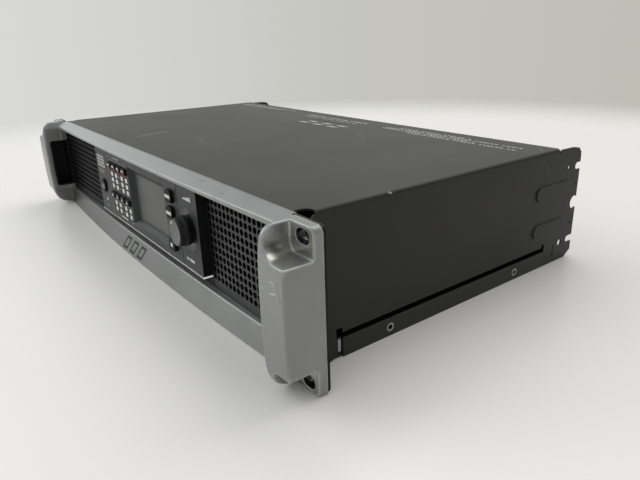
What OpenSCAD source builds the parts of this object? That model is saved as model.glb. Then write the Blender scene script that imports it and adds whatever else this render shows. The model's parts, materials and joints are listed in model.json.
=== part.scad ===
// Two-unit 19-inch rack power amplifier.
// Frame: X to the right seen from the front, Y towards the rear, Z up.
// Origin: centre of the rack-hole pattern on the mounting plane,
// which is the rear face of the rack ears (y = 0).

/* [Rack panel] */
// Width across the rack ears
panel_w = 482.6; // [482.6]
// Height of the front panel, two rack units less clearance
panel_h = 88.1; // [87:0.1:88.1]
// Sheet thickness of the steel front plate
plate_t = 1.5; // [1.2:0.1:2]
// Rack slot spacing, left to right
rack_dx = 465.1; // [465.1]
// Rack slot spacing, bottom to top
rack_dz = 76.2; // [76.2]
// Rack slot end-to-end length
slot_l = 10.3; // [9:0.1:11]
// Rack slot width
slot_w = 7.0; // [6.5:0.1:7.2]

/* [Cast bezel] */
// How far the carrying handles stand forward of the mounting plane
handle_y = 24.3; // [22:0.1:26]
// Distance from the centre to the inner face of a handle
handle_x = 219.0; // [218.5:0.1:219.5]
// Forward reach of the top rail at the middle
top_rail_y = 10.0; // [9:0.1:11]
// Forward reach of the bottom rail at the middle
low_rail_y = 13.5; // [12:0.1:14]
// Thickness of the flange under the rack screw heads
flange_t = 5.5; // [5:0.1:6]

/* [Chassis] */
// Width of the chassis between the ears
body_w = 439.0; // [439.0]
// Height of the cover's top face above the middle of the panel
body_top = 43.8; // [43.8]
// Depth of the cover behind the mounting plane
cover_d = 224.6; // [224.6]
// Depth of the rear support ears behind the mounting plane
ear_d = 254.0; // [252:0.5:256]
// Thickness of the cover and tray sheet
sheet_t = 1.2; // [1.2]

/* [Control fascia] */
// Left edge of the control fascia
fas_x0 = -88; // [-90:0.5:-86]
// Right edge of the control fascia
fas_x1 = 120.5; // [119.5:0.5:120.5]
// Bottom edge of the control fascia
fas_z0 = -20.5; // [-21:0.1:-20]
// Top edge of the control fascia
fas_z1 = 35.8; // [35:0.1:35.8]
// Forward reach of the fascia's front face
fas_y = 8.0; // [8.0]
// Travel of the buttons
btn_travel = 0.6; // [0.3:0.1:0.6]

/* [Encoder] */
// Encoder axis, left to right
enc_x = 104.5; // [103:0.5:106]
// Encoder axis, height
enc_z = 7.8; // [5:0.1:9]
// Encoder shaft radius
enc_r = 3.0; // [2.5:0.1:3]
// Radius of the encoder knob
knob_r = 10.0; // [9.5:0.1:12]

/* [Fan] */
// Fan axis, left to right
fan_x = -70; // [-72:1:-68]
// Fan frame side
fan_s = 80; // [80]

/* [Grille] */
// Pitch of the grille holes
grille_p = 5.03; // [5:0.01:5.1]
// Radius of the grille holes
grille_r = 2.1; // [1.8:0.1:2.4]

/* [Hidden] */
$fn = 48;
half_w = panel_w / 2;
half_h = panel_h / 2;
body_x = body_w / 2;
overlap = 0.01;
signs = [-1, 1];
corners = [for (sx = signs, sz = signs) [sx, sz]];

// Window in the front plate
window_x = 217.5;
window_z0 = -28.5;
window_z1 = 36.2;

// Screw places as [x, z]
bezel_screws_at = [for (x = [-150, -50, 50, 150], z = [39.1, -33.5]) [x, z]];
fascia_screw_x = [-70, 100];
fascia_screw_z0 = -32.5;
fascia_screw_z1 = 39.2;
fascia_screws_at = [for (x = fascia_screw_x, z = [fascia_screw_z1, fascia_screw_z0]) [x, z]];
control_screws_at = [[-80, -14.5], [-64, 30.5], [112, -14.5], [112, 30.5]];
cover_screws_at = [for (x = [-190, -125, 0, 125, 190]) [x, 39.8]];
// Main board standoffs as [x, y]
standoffs_at = [[-195, 30], [-60, 30], [60, 30], [195, 30],
  [-195, 184], [-60, 184], [60, 184], [195, 184]];

// Buttons and lights as [x, z]
small_x = [-46.2, -34.4, -22.6, -10.8];
mute_z = 25.4;
select_z = 0.2;
small_at = [for (x = small_x, z = [mute_z, select_z]) [x, z]];
keys_at = [[80.4, 25.2], [79.6, 13.5], [77.8, -9.8]];
power_at = [-72.5, 3];
power_led_at = [power_at[0], -9.5];
leds_at = [for (x = [-46.8, -36.2, -22.0, -11.4], z = [17.8, 12.7, 7.6, -7.5, -12.6]) [x, z]];
enc_at = [enc_x, enc_z];

// Button caps as [width, height, corner radius]
small_cap = [9, 4.8, 0.8];
key_cap = [10.6, 8.8, 2.8];
power_cap = [12, 8.8];
cap_gap = 0.2;
skirt = 0.7; // overhang of the skirt round a cap
led_size = [5, 3.4];
led_r = 1.4;
led_gap = 0.1;

// Inside of the chassis
floor_z = -half_h + sheet_t;
board_under_z = -36;
board_z = board_under_z + 1.6; // top face of the main board
rear_y = 223.3; // outer face of the rear panel
rear_t = 1.5;

// Rear fittings
fan_z = -0.4;
fan_at = [fan_x, fan_z];
fan_holes = [for (c = corners) 35.75 * c]; // from the fan axis
fan_hole_r = 2.1;
guard_y = 224.9; // outer face of the fan guard
socket_x = [20, 52, 84, 116];
input_z = 20.5;
speaker_z = -20;
socket_holes = [for (s = signs) [s * 9.5, s * 12]]; // from a socket's axis
inlet_at = [-165, -8];
inlet_size = [28, 21];
inlet_hole_dx = 20;
fitting_gap = 0.4; // opening less body, inlet and data ports
port_x = 160;
upper_port_z = 20;
upper_port = [14.4, 7.4];
lower_port_z = -18;
lower_port = [16, 13.4];

// ---- helpers ----
function arc(centre, radius, from, to, steps = 8) =
  [for (i = [0:steps]) let (a = from + (to - from) * i / steps)
    centre + radius * [cos(a), sin(a)]];
function round_rect(x0, y0, x1, y1, radius) = concat(
  arc([x1 - radius, y0 + radius], radius, 270, 360, 5),
  arc([x1 - radius, y1 - radius], radius, 0, 90, 5),
  arc([x0 + radius, y1 - radius], radius, 90, 180, 5),
  arc([x0 + radius, y0 + radius], radius, 180, 270, 5));
// rounded rectangle about the origin, grown all round
function centred_rect(cap, grow = 0) = round_rect(-cap[0] / 2 - grow, -cap[1] / 2 - grow,
  cap[0] / 2 + grow, cap[1] / 2 + grow, cap[2] + grow);

// extrudes a shape drawn in (x, z) from y0 to y1
module extrude_y(y0, y1)
  translate([0, y1, 0]) rotate([90, 0, 0]) linear_extrude(y1 - y0) children();
// extrudes a shape drawn in (y, z) from x0 to x1
module extrude_x(x0, x1)
  translate([x0, 0, 0]) rotate([90, 0, 90]) linear_extrude(x1 - x0) children();
module extrude_z(z0, z1) translate([0, 0, z0]) linear_extrude(z1 - z0) children();
module box(x0, x1, y0, y1, z0, z1) translate([x0, y0, z0]) cube([x1 - x0, y1 - y0, z1 - z0]);
// cylinders along one axis; at holds the other two coordinates
module cyl_y(at, radius, y0, y1)
  translate([at[0], y1, at[1]]) rotate([90, 0, 0]) cylinder(r = radius, h = y1 - y0);
module cyl_x(at, radius, x0, x1)
  translate([x0, at[0], at[1]]) rotate([0, 90, 0]) cylinder(r = radius, h = x1 - x0);
module cyl_z(at, radius, z0, z1)
  translate([at[0], at[1], z0]) cylinder(r = radius, h = z1 - z0);
module oblong(length, width) union() {
  square([length - width, width], center = true);
  for (s = signs) translate([s * (length - width) / 2, 0]) circle(d = width);
}
module both_sides() {
  children();
  mirror([1, 0, 0]) children();
}
module cross_recess(span, depth) {
  cube([span, 0.6, depth], center = true);
  cube([0.6, span, depth], center = true);
}
// pan-head screw pointing forward, its head bearing at y = seat_y
module screw_y(at, seat_y, length, shank_r = 1.5, head_r = 2.75, head_h = 1.7) difference() {
  union() {
    cyl_y(at, head_r, seat_y, seat_y + head_h);
    cyl_y(at, shank_r, seat_y - length, seat_y);
  }
  translate([at[0], seat_y + head_h, at[1]]) rotate([90, 0, 0]) cross_recess(head_r * 1.1, 1.6);
}
module rack_slots_2d() for (c = corners)
  translate([c[0] * rack_dx / 2, c[1] * rack_dz / 2]) oblong(slot_l, slot_w);

// ---- cast bezel with carrying handles ----
flange_y = -plate_t - flange_t; // front face of the flange
rail_x = 219.2;

// side outlines as [y, z]
handle_outline = concat([[-plate_t, half_h]], arc([-14, half_h - 9], 9, 90, 168),
  [[-23.6, 28], [-handle_y, 10], [-handle_y, -12], [-23.6, -28], [-21.8, -35],
  [-19, -39.2], [-14, -42], [-7.5, -half_h], [-plate_t, -half_h]]);
top_rail_outline = [[1, half_h], [0.2, half_h], [-top_rail_y, 38.2], [-top_rail_y, 37.4],
  [-top_rail_y + 1.4, window_z1], [-plate_t, window_z1], [-plate_t, 42.5], [1, 42.5]];
low_rail_outline = [[-plate_t, window_z0], [-6.6, window_z0], [-7.3, -29.2],
  [-low_rail_y, -43.2], [-low_rail_y + 0.4, -half_h], [1, -half_h], [1, -42.5],
  [-plate_t, -42.5]];

// recess in the handle in front of a rack slot
module pocket_2d()
  polygon(concat([[222.5, 60]], arc([230.5, 36.5], 8, 180, 270), [[260, 28.5], [260, 60]]));
// rail that bows back by bow at its ends
module rail(outline, reach, bow, z0, z1) intersection() {
  extrude_x(-rail_x, rail_x) polygon(outline);
  extrude_z(z0, z1) polygon(concat(
    [for (i = [-16:16]) [i * rail_x / 16, -reach + bow * pow(i / 16, 2)]],
    [[rail_x, 1], [-rail_x, 1]]));
}
module bezel_half() difference() {
  union() {
    extrude_y(flange_y, -plate_t) polygon(concat(
      arc([half_w - 4, -half_h + 4], 4, 270, 360),
      arc([half_w - 4, half_h - 4], 4, 0, 90),
      [[handle_x, half_h], [handle_x, -half_h]]));
    extrude_x(handle_x, half_w - 0.5) polygon(handle_outline);
  }
  for (s = [0, 1]) mirror([0, 0, s]) extrude_y(-40, flange_y) pocket_2d();
  extrude_y(-9, 0) rack_slots_2d();
  // grip opening
  extrude_x(handle_x - 2, 237.5) polygon(round_rect(-19, -24.5, 3, 24, 3));
}
module front_bezel() color("#8b8b88") difference() {
  union() {
    both_sides() bezel_half();
    rail(top_rail_outline, top_rail_y, 2, 30, 50);
    rail(low_rail_outline, low_rail_y, 8.3, -50, -20);
  }
  // trims the rail ends behind the plate's front face
  both_sides() box(216.8, 219.5, -plate_t, 2, -50, 50);
  for (p = bezel_screws_at) cyl_y(p, 1.55, -5, 0);
}
module front_plate() color("#1b1b1c") extrude_y(-plate_t, 0) difference() {
  polygon(round_rect(-half_w, -half_h, half_w, half_h, 3.5));
  // top and bottom edges, cut back between the ears
  for (z = [42.5, -47.5]) translate([-217, z]) square([434, 5]);
  // window for the grilles and the fascia, with a sill under the fascia
  difference() {
    polygon(round_rect(-window_x, window_z0, window_x, window_z1, 0.3));
    translate([fas_x0, -30]) square([fas_x1 - fas_x0, fas_z0 - 0.3 + 30]);
  }
  rack_slots_2d();
  for (p = bezel_screws_at) translate(p) circle(r = 1.7);
  for (p = fascia_screws_at) translate(p) circle(r = 1.25);
}
module grip_liner() difference() {
  extrude_x(handle_x + 0.3, 237.4)
    polygon(round_rect(-18.95, -24.45, -plate_t, 23.95, 2.95));
  extrude_x(handle_x - 1, 236) polygon(round_rect(-17.6, -23.1, -3, 22.6, 2));
}
module right_grip_liner() color("#0e0e0f") grip_liner();
module left_grip_liner() color("#0e0e0f") mirror([1, 0, 0]) grip_liner();

// ---- perforated grilles: shallow pans in the plate's window, faces flush with the plate ----
pan_gap = 0.2;
pan_t = 1;
pan_z0 = window_z0 + pan_gap;
pan_z1 = window_z1 - pan_gap;
pan_x = window_x - pan_gap;
grille_z = 0.1; // height of the row numbered 0

// first_x is the leftmost column of holes
module grille(x0, x1, first_x) {
  columns = floor((x1 - first_x - 4.2) / grille_p) + 1;
  side_x = 0.866 * grille_r;
  difference() {
    box(x0, x1, -plate_t, 3.6, pan_z0, pan_z1);
    box(x0 + pan_t, x1 - pan_t, -plate_t + pan_t, 4.6, pan_z0 + pan_t, pan_z1 - pan_t);
    extrude_y(-plate_t - 1, 0) for (i = [0:columns - 1], j = [-4:6])
      translate([first_x + i * grille_p, grille_z + j * grille_p])
        rotate(30) circle(r = grille_r, $fn = 6);
    // top row, cut short by the pan's rim
    extrude_y(-plate_t - 1, 0) for (i = [0:columns - 1])
      translate([first_x + i * grille_p, grille_z + 7 * grille_p])
        polygon([[-side_x, -0.4], [-side_x, -grille_r / 2], [0, -grille_r],
          [side_x, -grille_r / 2], [side_x, -0.4]]);
  }
}
module left_grille() color("#202021") grille(-pan_x, fas_x0 - pan_gap, -213.2);
module right_grille() color("#202021") grille(fas_x1 + pan_gap, pan_x, 123.9);

// ---- control fascia ----
// opening for the display window
display_x0 = 1;
display_x1 = 65;
display_z0 = -11.2;
display_z1 = 25.4;
window_gap = 0.1;
control_y = 4; // front face of the control board
control_t = 1.6;
skirt_y = -5.9; // front face of the button skirts
skirt_back_y = -5.2;
pipe_back_y = 3.9;

module control_openings_2d() {
  for (p = small_at) translate(p) polygon(centred_rect(small_cap, cap_gap));
  for (p = keys_at) translate(p) polygon(centred_rect(key_cap, cap_gap));
  for (p = leds_at) translate(p)
    square([led_size[0] + 2 * led_gap, led_size[1] + 2 * led_gap], center = true);
  translate(power_at) rotate(90)
    oblong(power_cap[0] + 2 * cap_gap, power_cap[1] + 2 * cap_gap);
  translate(power_led_at) circle(r = led_r + led_gap);
}
module control_fascia() color("#3d3e40") difference() {
  union() {
    extrude_y(-fas_y, 2.4) polygon(round_rect(fas_x0, fas_z0, fas_x1, fas_z1, 1));
    // screw lugs below and above
    for (x = fascia_screw_x) {
      box(x - 8, x + 8, 0.05, 1.65, fascia_screw_z0 - 4, fas_z0 + 1);
      box(x - 8, x + 8, 0.05, 1.65, fas_z1 - 1, fascia_screw_z1 + 3);
    }
  }
  // hollow back, leaving the display tub and the board bosses
  difference() {
    box(fas_x0 + 2, fas_x1 - 2, -fas_y + 2, 3, fas_z0 + 2, fas_z1 - 2);
    box(-5.3, 71, -fas_y, -2.2, -17.4, 32.8);
    for (p = control_screws_at) cyl_y(p, 3.2, -fas_y, 3.95);
  }
  for (p = control_screws_at) cyl_y(p, 1.3, -3, 4);
  // bevelled display recess
  intersection() {
    extrude_z(-20, 40) polygon([[-5.5, -9], [69, -9], [66.5, -4], [-0.5, -4]]);
    extrude_x(-10, 80) polygon([[-9, -15.7], [-4, -12.2], [-4, 26.4], [-9, 31.65]]);
  }
  box(display_x0, display_x1, -9, 0, display_z0, display_z1);
  extrude_y(-9, -1) control_openings_2d();
  cyl_y(enc_at, 3.7, -9, 0);
  // shallow round recess behind the knob
  cyl_y(enc_at, 14.5, -fas_y - 1, -fas_y + 0.8);
  // seam between the display half and the encoder half
  box(90.1, 90.7, -fas_y - 1, -fas_y + 0.6, fas_z0 - 1, fas_z1 + 1);
  for (p = fascia_screws_at) cyl_y(p, 1.7, 0, 2);
}
module fascia_trim() color("#b9bab8")
  box(fas_x0 - 0.2, fas_x1 + 0.15, -fas_y - 0.4, -plate_t - 0.1, fas_z0 - 1.1, fas_z0);
module display_window() color("#4a4c4a", 0.6)
  box(display_x0 + window_gap, display_x1 - window_gap, -4, -2.5,
    display_z0 + window_gap, display_z1 - window_gap);
module lcd_module() color("#5b5f5a") union() {
  box(-1, 67, -2.15, 0.6, -14, 28);
  box(2, 64, 0.6, 3.9, -12, 26);
}
module control_board() color("#1f5a32") difference() {
  back_y = control_y + control_t;
  union() {
    box(-85, 117.5, control_y, back_y, -17.6, 33.2);
    // ribbon connector and two flat parts on the back
    box(20, 50, back_y, 9.5, -16, -11);
    box(-60, -48, back_y, 7.2, 0, 12);
    box(70, 84, back_y, 7.4, 5, 19);
  }
  for (p = control_screws_at) cyl_y(p, 1.5, 3, 6);
}
module tact_switch(at) {
  box(at[0] - 3, at[0] + 3, 1.2, control_y, at[1] - 3, at[1] + 3);
  cyl_y(at, 1.6, btn_travel + 0.1, 1.3);
}
module tact_switches() color("#2a2a2b")
  for (p = concat(small_at, keys_at, [power_at])) tact_switch(p);

// push button: cap standing proud of the fascia, skirt behind it, and stem
module push_button(at, cap, proud) translate([at[0], 0, at[1]]) {
  edge_x = cap[0] / 2 + skirt;
  edge_z = cap[1] / 2 + skirt;
  extrude_y(-fas_y - proud, skirt_back_y) polygon(centred_rect(cap));
  box(-edge_x, edge_x, skirt_y, skirt_back_y, -edge_z, edge_z);
  cyl_y([0, 0], 1.6, skirt_back_y - 0.1, 0);
}
module small_button(i, z) color("#161617") push_button([small_x[i], z], small_cap, 2.2);
module mute_button_1() small_button(0, mute_z);
module mute_button_2() small_button(1, mute_z);
module mute_button_3() small_button(2, mute_z);
module mute_button_4() small_button(3, mute_z);
module select_button_1() small_button(0, select_z);
module select_button_2() small_button(1, select_z);
module select_button_3() small_button(2, select_z);
module select_button_4() small_button(3, select_z);
module key_button(i) color("#161617") push_button(keys_at[i], key_cap, 2.4);
module exit_button() key_button(0);
module enter_button() key_button(1);
module id_button() key_button(2);
module power_button() color("#1a1213") translate([power_at[0], 0, power_at[1]]) {
  extrude_y(-fas_y - 1.8, skirt_back_y) rotate(90) oblong(power_cap[0], power_cap[1]);
  extrude_y(skirt_y, skirt_back_y) rotate(90)
    oblong(power_cap[0] + 2 * skirt, power_cap[1] + 2 * skirt);
  cyl_y([0, 0], 1.6, skirt_back_y - 0.1, 0);
}
module led_light_pipes() color("#e4e6e2") {
  for (p = leds_at) box(p[0] - led_size[0] / 2, p[0] + led_size[0] / 2, -fas_y, pipe_back_y,
    p[1] - led_size[1] / 2, p[1] + led_size[1] / 2);
  cyl_y(power_led_at, led_r, -fas_y, pipe_back_y);
}

// ---- encoder ----
bush_r = 3.6;
knob_y = -16.6; // front face of the knob

module encoder_body() color("#7d7f80") difference() {
  union() {
    box(enc_x - 6.2, enc_x + 6.2, -3.2, 3.95, enc_z - 6.2, enc_z + 6.2);
    cyl_y(enc_at, bush_r, -10.6, -3.1);
  }
  cyl_y(enc_at, enc_r + 0.05, -11, 0.5);
}
module encoder_nut() color("#a9aaa8") difference() {
  translate([enc_x, -7.2, enc_z]) rotate([90, 0, 0]) cylinder(r = 5.8, h = 2, $fn = 6);
  cyl_y(enc_at, bush_r + 0.05, -12, 0);
}
module encoder_shaft() color("#a5a6a6") cyl_y(enc_at, enc_r, -15.2, 0.2);
module encoder_knob() color("#151515") difference() {
  extrude_y(knob_y, -8.5) difference() {
    translate(enc_at) circle(r = knob_r);
    // grip grooves
    for (i = [0:29]) translate(enc_at) rotate(i * 12)
      translate([knob_r + 0.35, 0]) circle(r = 0.85, $fn = 16);
  }
  cyl_y(enc_at, 7.4, -11.5, -8);
  cyl_y(enc_at, enc_r + 0.02, -15.25, -8);
}
module knob_cap() color("#6f7071") difference() {
  cyl_y(enc_at, knob_r - 1.4, -17.4, knob_y);
  box(enc_x - 0.5, enc_x + 0.5, -18, -17, enc_z + 4.4, enc_z + 7.6);
}
module fascia_screws() color("#9a9a98")
  for (p = fascia_screws_at) screw_y(p, 1.65, 3.1, 1.2, 2.5, 1.5);
module bezel_screws() color("#9a9a98") for (p = bezel_screws_at) screw_y(p, 0, 4.8);

// ---- chassis sheet metal ----
roof_r = 2.5; // outer bend radius of the cover
side_t = 1.4; // thickness of the tray's sides
lip_in = 2.5; // inner face of the lips, in from the body side
insert_y = [61.1, 181.7];
insert_z = -38.5;

// cover side as [y, z]: front and lower edge, then the rear ear and top edge
cover_side_outline = [
  [1.2, 41.3], [1.2, -half_h], [16, -half_h], [21, -41.5], [21, -25.5], [25.5, -25.5],
  [25.5, -28.5], [213.5, -28.5], [213.5, -26.3], [216.9, -26.3], [216.9, -half_h],
  [246, -half_h], [ear_d, -39.2], [ear_d, 34],
  [253.4, 38], [250.4, 41.2], [244, 42.4], [228, 42.7], [226.6, 41.9], [225.2, 39.2],
  [cover_d, 41.3]];
// round holes in the rear ear as [y, z, radius]
ear_holes = [[ear_d - 5.3, -29.6, 2.7], [ear_d - 2.7, -0.5, 5], [ear_d - 3.8, 27.7, 2.7],
  [239.3, 28.2, 1.6], [249, 14.2, 1.1], [249, -16.3, 1.1], [237.5, -30, 2.5]];

module cover_side_2d() difference() {
  polygon(cover_side_outline);
  for (h = ear_holes) translate([h[0], h[1]]) circle(r = h[2]);
  // open the outermost holes to the rear edge
  translate([ear_d - 5.3, -32.3]) square([10, 5.4]);
  translate([ear_d - 3.8, 25]) square([10, 5.4]);
  translate([228.6, -39.2]) square([1, 10.2]);
}
// round notch at the top front corner
module side_notch() cyl_x([4.2, 44], 5.4, body_x - 5, body_x + 5);
module cover_side() difference() {
  union() {
    extrude_x(body_x - sheet_t, body_x) cover_side_2d();
    // two raised oblongs near the rear
    extrude_x(body_x - 0.1, body_x + 0.9) {
      translate([221.5, 13.4]) oblong(43, 10.6);
      translate([220.5, -14.6]) oblong(41, 10.6);
    }
  }
  side_notch();
}
// roof section as [x, z], open side at z0
function roof_outline(inset, z0) = concat(
  [[-body_x + inset, z0], [body_x - inset, z0]],
  arc([body_x - roof_r, body_top - roof_r], roof_r - inset, 0, 90, 6),
  arc([-body_x + roof_r, body_top - roof_r], roof_r - inset, 90, 180, 6));
module top_cover() color("#2a2b29") union() {
  both_sides() cover_side();
  difference() {
    extrude_y(1.2, cover_d) difference() {
      polygon(roof_outline(0, 41.3));
      polygon(roof_outline(sheet_t, 41));
    }
    both_sides() {
      cyl_z([218.6, 4.6], 5.8, 30, 50);
      side_notch();
    }
  }
  // rear flange
  difference() {
    box(-body_x + 2.5, body_x - 2.5, cover_d - sheet_t, cover_d, 36, 42.8);
    for (p = cover_screws_at) cyl_y(p, 1.7, 220, 230);
    // room for the fan guard's upper feet
    box(fan_x - 41, fan_x + 41, cover_d - 3, cover_d + 1, 35, 40.3);
  }
}
module bottom_tray() color("#2c2d29") difference() {
  union() {
    box(-body_x + side_t, body_x - side_t, 1.3, rear_y, -half_h, floor_z);
    box(-body_x, body_x, 25.7, 216.7, -half_h, floor_z);
    both_sides() {
      box(body_x - side_t, body_x, 25.7, 216.7, -half_h, -32.5);
      box(body_x - lip_in, body_x - side_t, 21.8, 26.5, floor_z, -31.6);
      // lip behind the cover's lower edge, closing the gap above the tray's side
      box(body_x - lip_in, body_x - side_t, 25.7, 216.7, -34.2, -27);
    }
    box(-210, 210, 1.3, 2.5, -half_h, -37);
  }
  both_sides() for (y = insert_y) cyl_x([y, insert_z], 2.75, body_x - 3, body_x + 1);
  // countersinks
  for (p = standoffs_at) translate([p[0], p[1], -half_h - overlap])
    cylinder(r1 = 3.05, r2 = 1.7, h = sheet_t + 2 * overlap);
}
module side_inserts() color("#b4b5b2") both_sides() for (y = insert_y) difference() {
  union() {
    cyl_x([y, insert_z], 2.7, body_x - 5.5, body_x);
    cyl_x([y, insert_z], 3.5, body_x - 5.5, body_x - side_t);
  }
  cyl_x([y, insert_z], 1.65, body_x - 7, body_x + 1);
}
module rear_opening(x, z, size) translate([x, z])
  square([size[0] + fitting_gap, size[1] + fitting_gap], center = true);
module rear_panel() color("#1f1f20") extrude_y(rear_y - rear_t, rear_y) difference() {
  polygon(round_rect(-218.1, -42.8, 218.1, 42.5, 1.5));
  translate(fan_at) circle(r = 38);
  for (p = fan_holes) translate(fan_at + p) circle(r = fan_hole_r);
  for (p = cover_screws_at) translate(p) circle(r = 1.6);
  for (x = socket_x, z = [input_z, speaker_z]) translate([x, z]) {
    circle(r = 12.1);
    for (p = socket_holes) translate(p) circle(r = 1.6);
  }
  rear_opening(inlet_at[0], inlet_at[1], inlet_size);
  for (s = signs) translate(inlet_at + [s * inlet_hole_dx, 0]) circle(r = 1.6);
  rear_opening(port_x, upper_port_z, upper_port);
  rear_opening(port_x, lower_port_z, lower_port);
  // air inlet slots beside the connectors
  for (i = [0:5]) translate([182 + i * 6, 0]) rotate(90) oblong(50, 3);
}
module cover_screws() color("#8f8f8d") for (p = cover_screws_at) screw_y(p, cover_d, 4.2);
module base_screws() color("#8f8f8d")
  for (p = standoffs_at) translate([p[0], p[1], -half_h]) difference() {
    union() {
      cylinder(r1 = 2.95, r2 = 1.6, h = sheet_t);
      cylinder(r = 1.42, h = 4.6);
    }
    cross_recess(3.4, 1.2);
  }

// ---- electronics ----
fin_pitch = 5.2;
sink_y0 = 40;
sink_y1 = 170;

module main_board() color("#1d5330") difference() {
  box(-205, 205, 22, 192, board_under_z, board_z);
  for (p = standoffs_at) cyl_z(p, 1.7, -40, -30);
}
module board_standoffs() color("#b39a52") for (p = standoffs_at) difference() {
  translate([p[0], p[1], floor_z]) cylinder(r = 3.6, h = board_under_z - floor_z, $fn = 6);
  cyl_z(p, 1.5, -44, -30);
}
// screws of the main board, then of the control board
module board_screws() color("#a4a5a2") {
  for (p = standoffs_at) difference() {
    union() {
      cyl_z(p, 2.8, board_z, -32.7);
      cyl_z(p, 1.42, -38.8, board_z + 0.1);
    }
    translate([p[0], p[1], -32.7]) cube([3, 0.6, 1.6], center = true);
  }
  for (p = control_screws_at) screw_y(p, control_y + control_t, 7.4, 1.22, 2.5, 1.5);
}
module heatsink(x0) {
  box(x0, x0 + 60, sink_y0, sink_y1, board_z, -29);
  for (i = [0:11]) let (fin_x = x0 + 0.5 + i * fin_pitch)
    box(fin_x, fin_x + 2, sink_y0, sink_y1, -29.1, 22);
}
module left_heatsink() color("#9b9c9c") heatsink(-200);
module right_heatsink() color("#9b9c9c") heatsink(140);
// bodies on the inner faces of the heatsinks, each on three legs
module output_transistors() color("#191919") both_sides() for (y = [58, 88, 118, 148]) {
  box(135, 139.9, y - 7.8, y + 7.8, -28, -7);
  for (k = [-1:1]) box(136.4, 137.2, y + k * 5 - 0.6, y + k * 5 + 0.6, board_z, -27.9);
}
module transformer_core() color("#2f2f31") difference() {
  box(-18, 42, 55, 95, board_z, 12);
  box(-10, 2.5, 50, 100, -26, 3.5);
  box(21.5, 34, 50, 100, -26, 3.5);
}
module transformer_winding() color("#b5722d") difference() {
  box(-9.5, 33.5, 47, 103, -25.5, 3);
  box(2.4, 21.6, 54, 96, -30, 10);
}
module bulk_capacitors() color("#22334f") for (x = [-104, -66], y = [62, 100]) union() {
  cyl_z([x, y], 15, board_z, 7);
  cyl_z([x, y], 13, 7, 8);
}
module output_inductors() color("#a8752c") for (x = [72, 112], y = [62, 104])
  translate([x, y, -27.4]) rotate_extrude() translate([12.4, 0]) circle(r = 6.5, $fn = 24);
// cable section as [y, z], and the connector on the main board
module ribbon_cable() color("#8d8f90") {
  extrude_x(22, 48) polygon([
    [9.6, -14.5], [17.5, -18], [19.5, -22], [19.5, -28], [24, -32.6], [30, -33.4],
    [30, -32.4], [24.6, -31.6], [20.6, -27.4], [20.6, -21.6], [18.3, -17.1], [9.6, -13.3]]);
  box(20, 50, 30, 35, board_z, -29.5);
}
module mains_wiring() color("#6e4a2c") for (k = [-1:1]) union() {
  cyl_y(inlet_at + [k * 7, 0], 1.5, 187, 199.9);
  cyl_z([inlet_at[0] + k * 7, 187], 1.7, board_z, -6);
}

// ---- cooling fan ----
module fan_frame() color("#161616") difference() {
  union() {
    difference() {
      extrude_y(196.5, 221.7) translate(fan_at) polygon(centred_rect([fan_s, fan_s, 4]));
      cyl_y(fan_at, 38, 190, 230);
      // waists at the corners, between the end flanges
      for (c = corners) translate([fan_x + c[0] * 42, 0, fan_z + c[1] * 42])
        rotate([0, 45, 0]) translate([-3, 200.5, -14]) cube([6, 17.2, 28]);
    }
    // hub plate and its three struts
    cyl_y(fan_at, 17, 197, 199);
    for (a = [30, 150, 270]) translate([fan_x, 0, fan_z])
      rotate([0, a, 0]) box(-39, -15, 197, 199, -2, 2);
  }
  for (p = fan_holes) cyl_y(fan_at + p, fan_hole_r, 190, 230);
  cyl_y(fan_at, 1.55, 190, 230);
}
module fan_rotor() color("#202020") translate([fan_x, 0, fan_z]) {
  // hub, hollow at the front
  difference() {
    cyl_y([0, 0], 17.5, 200.2, 219);
    cyl_y([0, 0], 15.5, 199, 205);
  }
  // shaft
  cyl_y([0, 0], 1.5, 196.8, 206);
  // seven pitched blades
  intersection() {
    difference() {
      cyl_y([0, 0], 36.6, 201, 218.5);
      cyl_y([0, 0], 17, 200, 220);
    }
    for (i = [0:6]) rotate([0, i * 360 / 7, 0]) translate([0, 209.8, 0])
      rotate([38, 0, 0]) box(10, 40, -16, 16, -0.7, 0.7);
  }
}
module fan_guard() color("#c2c3c1") extrude_y(rear_y + 0.1, guard_y)
  translate(fan_at) difference() {
    union() {
      for (ring_r = [10, 18.5, 27, 35.5]) difference() {
        circle(r = ring_r + 0.8);
        circle(r = ring_r - 0.8);
      }
      for (a = [45, 135]) rotate(a) square([94, 1.6], center = true);
      for (p = fan_holes) translate(p) circle(r = 3.8);
    }
    for (p = fan_holes) translate(p) circle(r = fan_hole_r);
  }
module fan_screws() color("#9a9b98")
  for (p = fan_holes) screw_y(fan_at + p, guard_y, 12, 1.9, 3.4, 2);

// ---- rear connectors ----
inlet_face_y = 226;
input_face_y = 225.2;
speaker_face_y = 225.6;

module at_inlet() translate([inlet_at[0], 0, inlet_at[1]]) children();
module mains_inlet() color("#141414") at_inlet() difference() {
  union() {
    extrude_y(rear_y, inlet_face_y) polygon(centred_rect([50, 24, 3]));
    box(-inlet_size[0] / 2, inlet_size[0] / 2, 200, rear_y + 0.1,
      -inlet_size[1] / 2, inlet_size[1] / 2);
  }
  extrude_y(207, 227)
    polygon([[-12.2, -8.6], [12.2, -8.6], [12.2, 4], [7.5, 8.6], [-7.5, 8.6], [-12.2, 4]]);
  for (s = signs) cyl_y([s * inlet_hole_dx, 0], 1.7, 220, 230);
}
module inlet_pins() color("#c9b26a") at_inlet() {
  for (s = signs) box(s * 7 - 2, s * 7 + 2, 207, 221, -3, -1);
  box(-2, 2, 207, 222, 3, 5);
}
module socket_body(face_y, barrel_y0, barrel_y1) union() {
  extrude_y(rear_y, face_y) polygon(centred_rect([26, 31, 3]));
  cyl_y([0, 0], 12, barrel_y0, barrel_y1);
}
module socket_screw_holes() for (p = socket_holes) cyl_y(p, 1.7, 220, 230);
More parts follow.
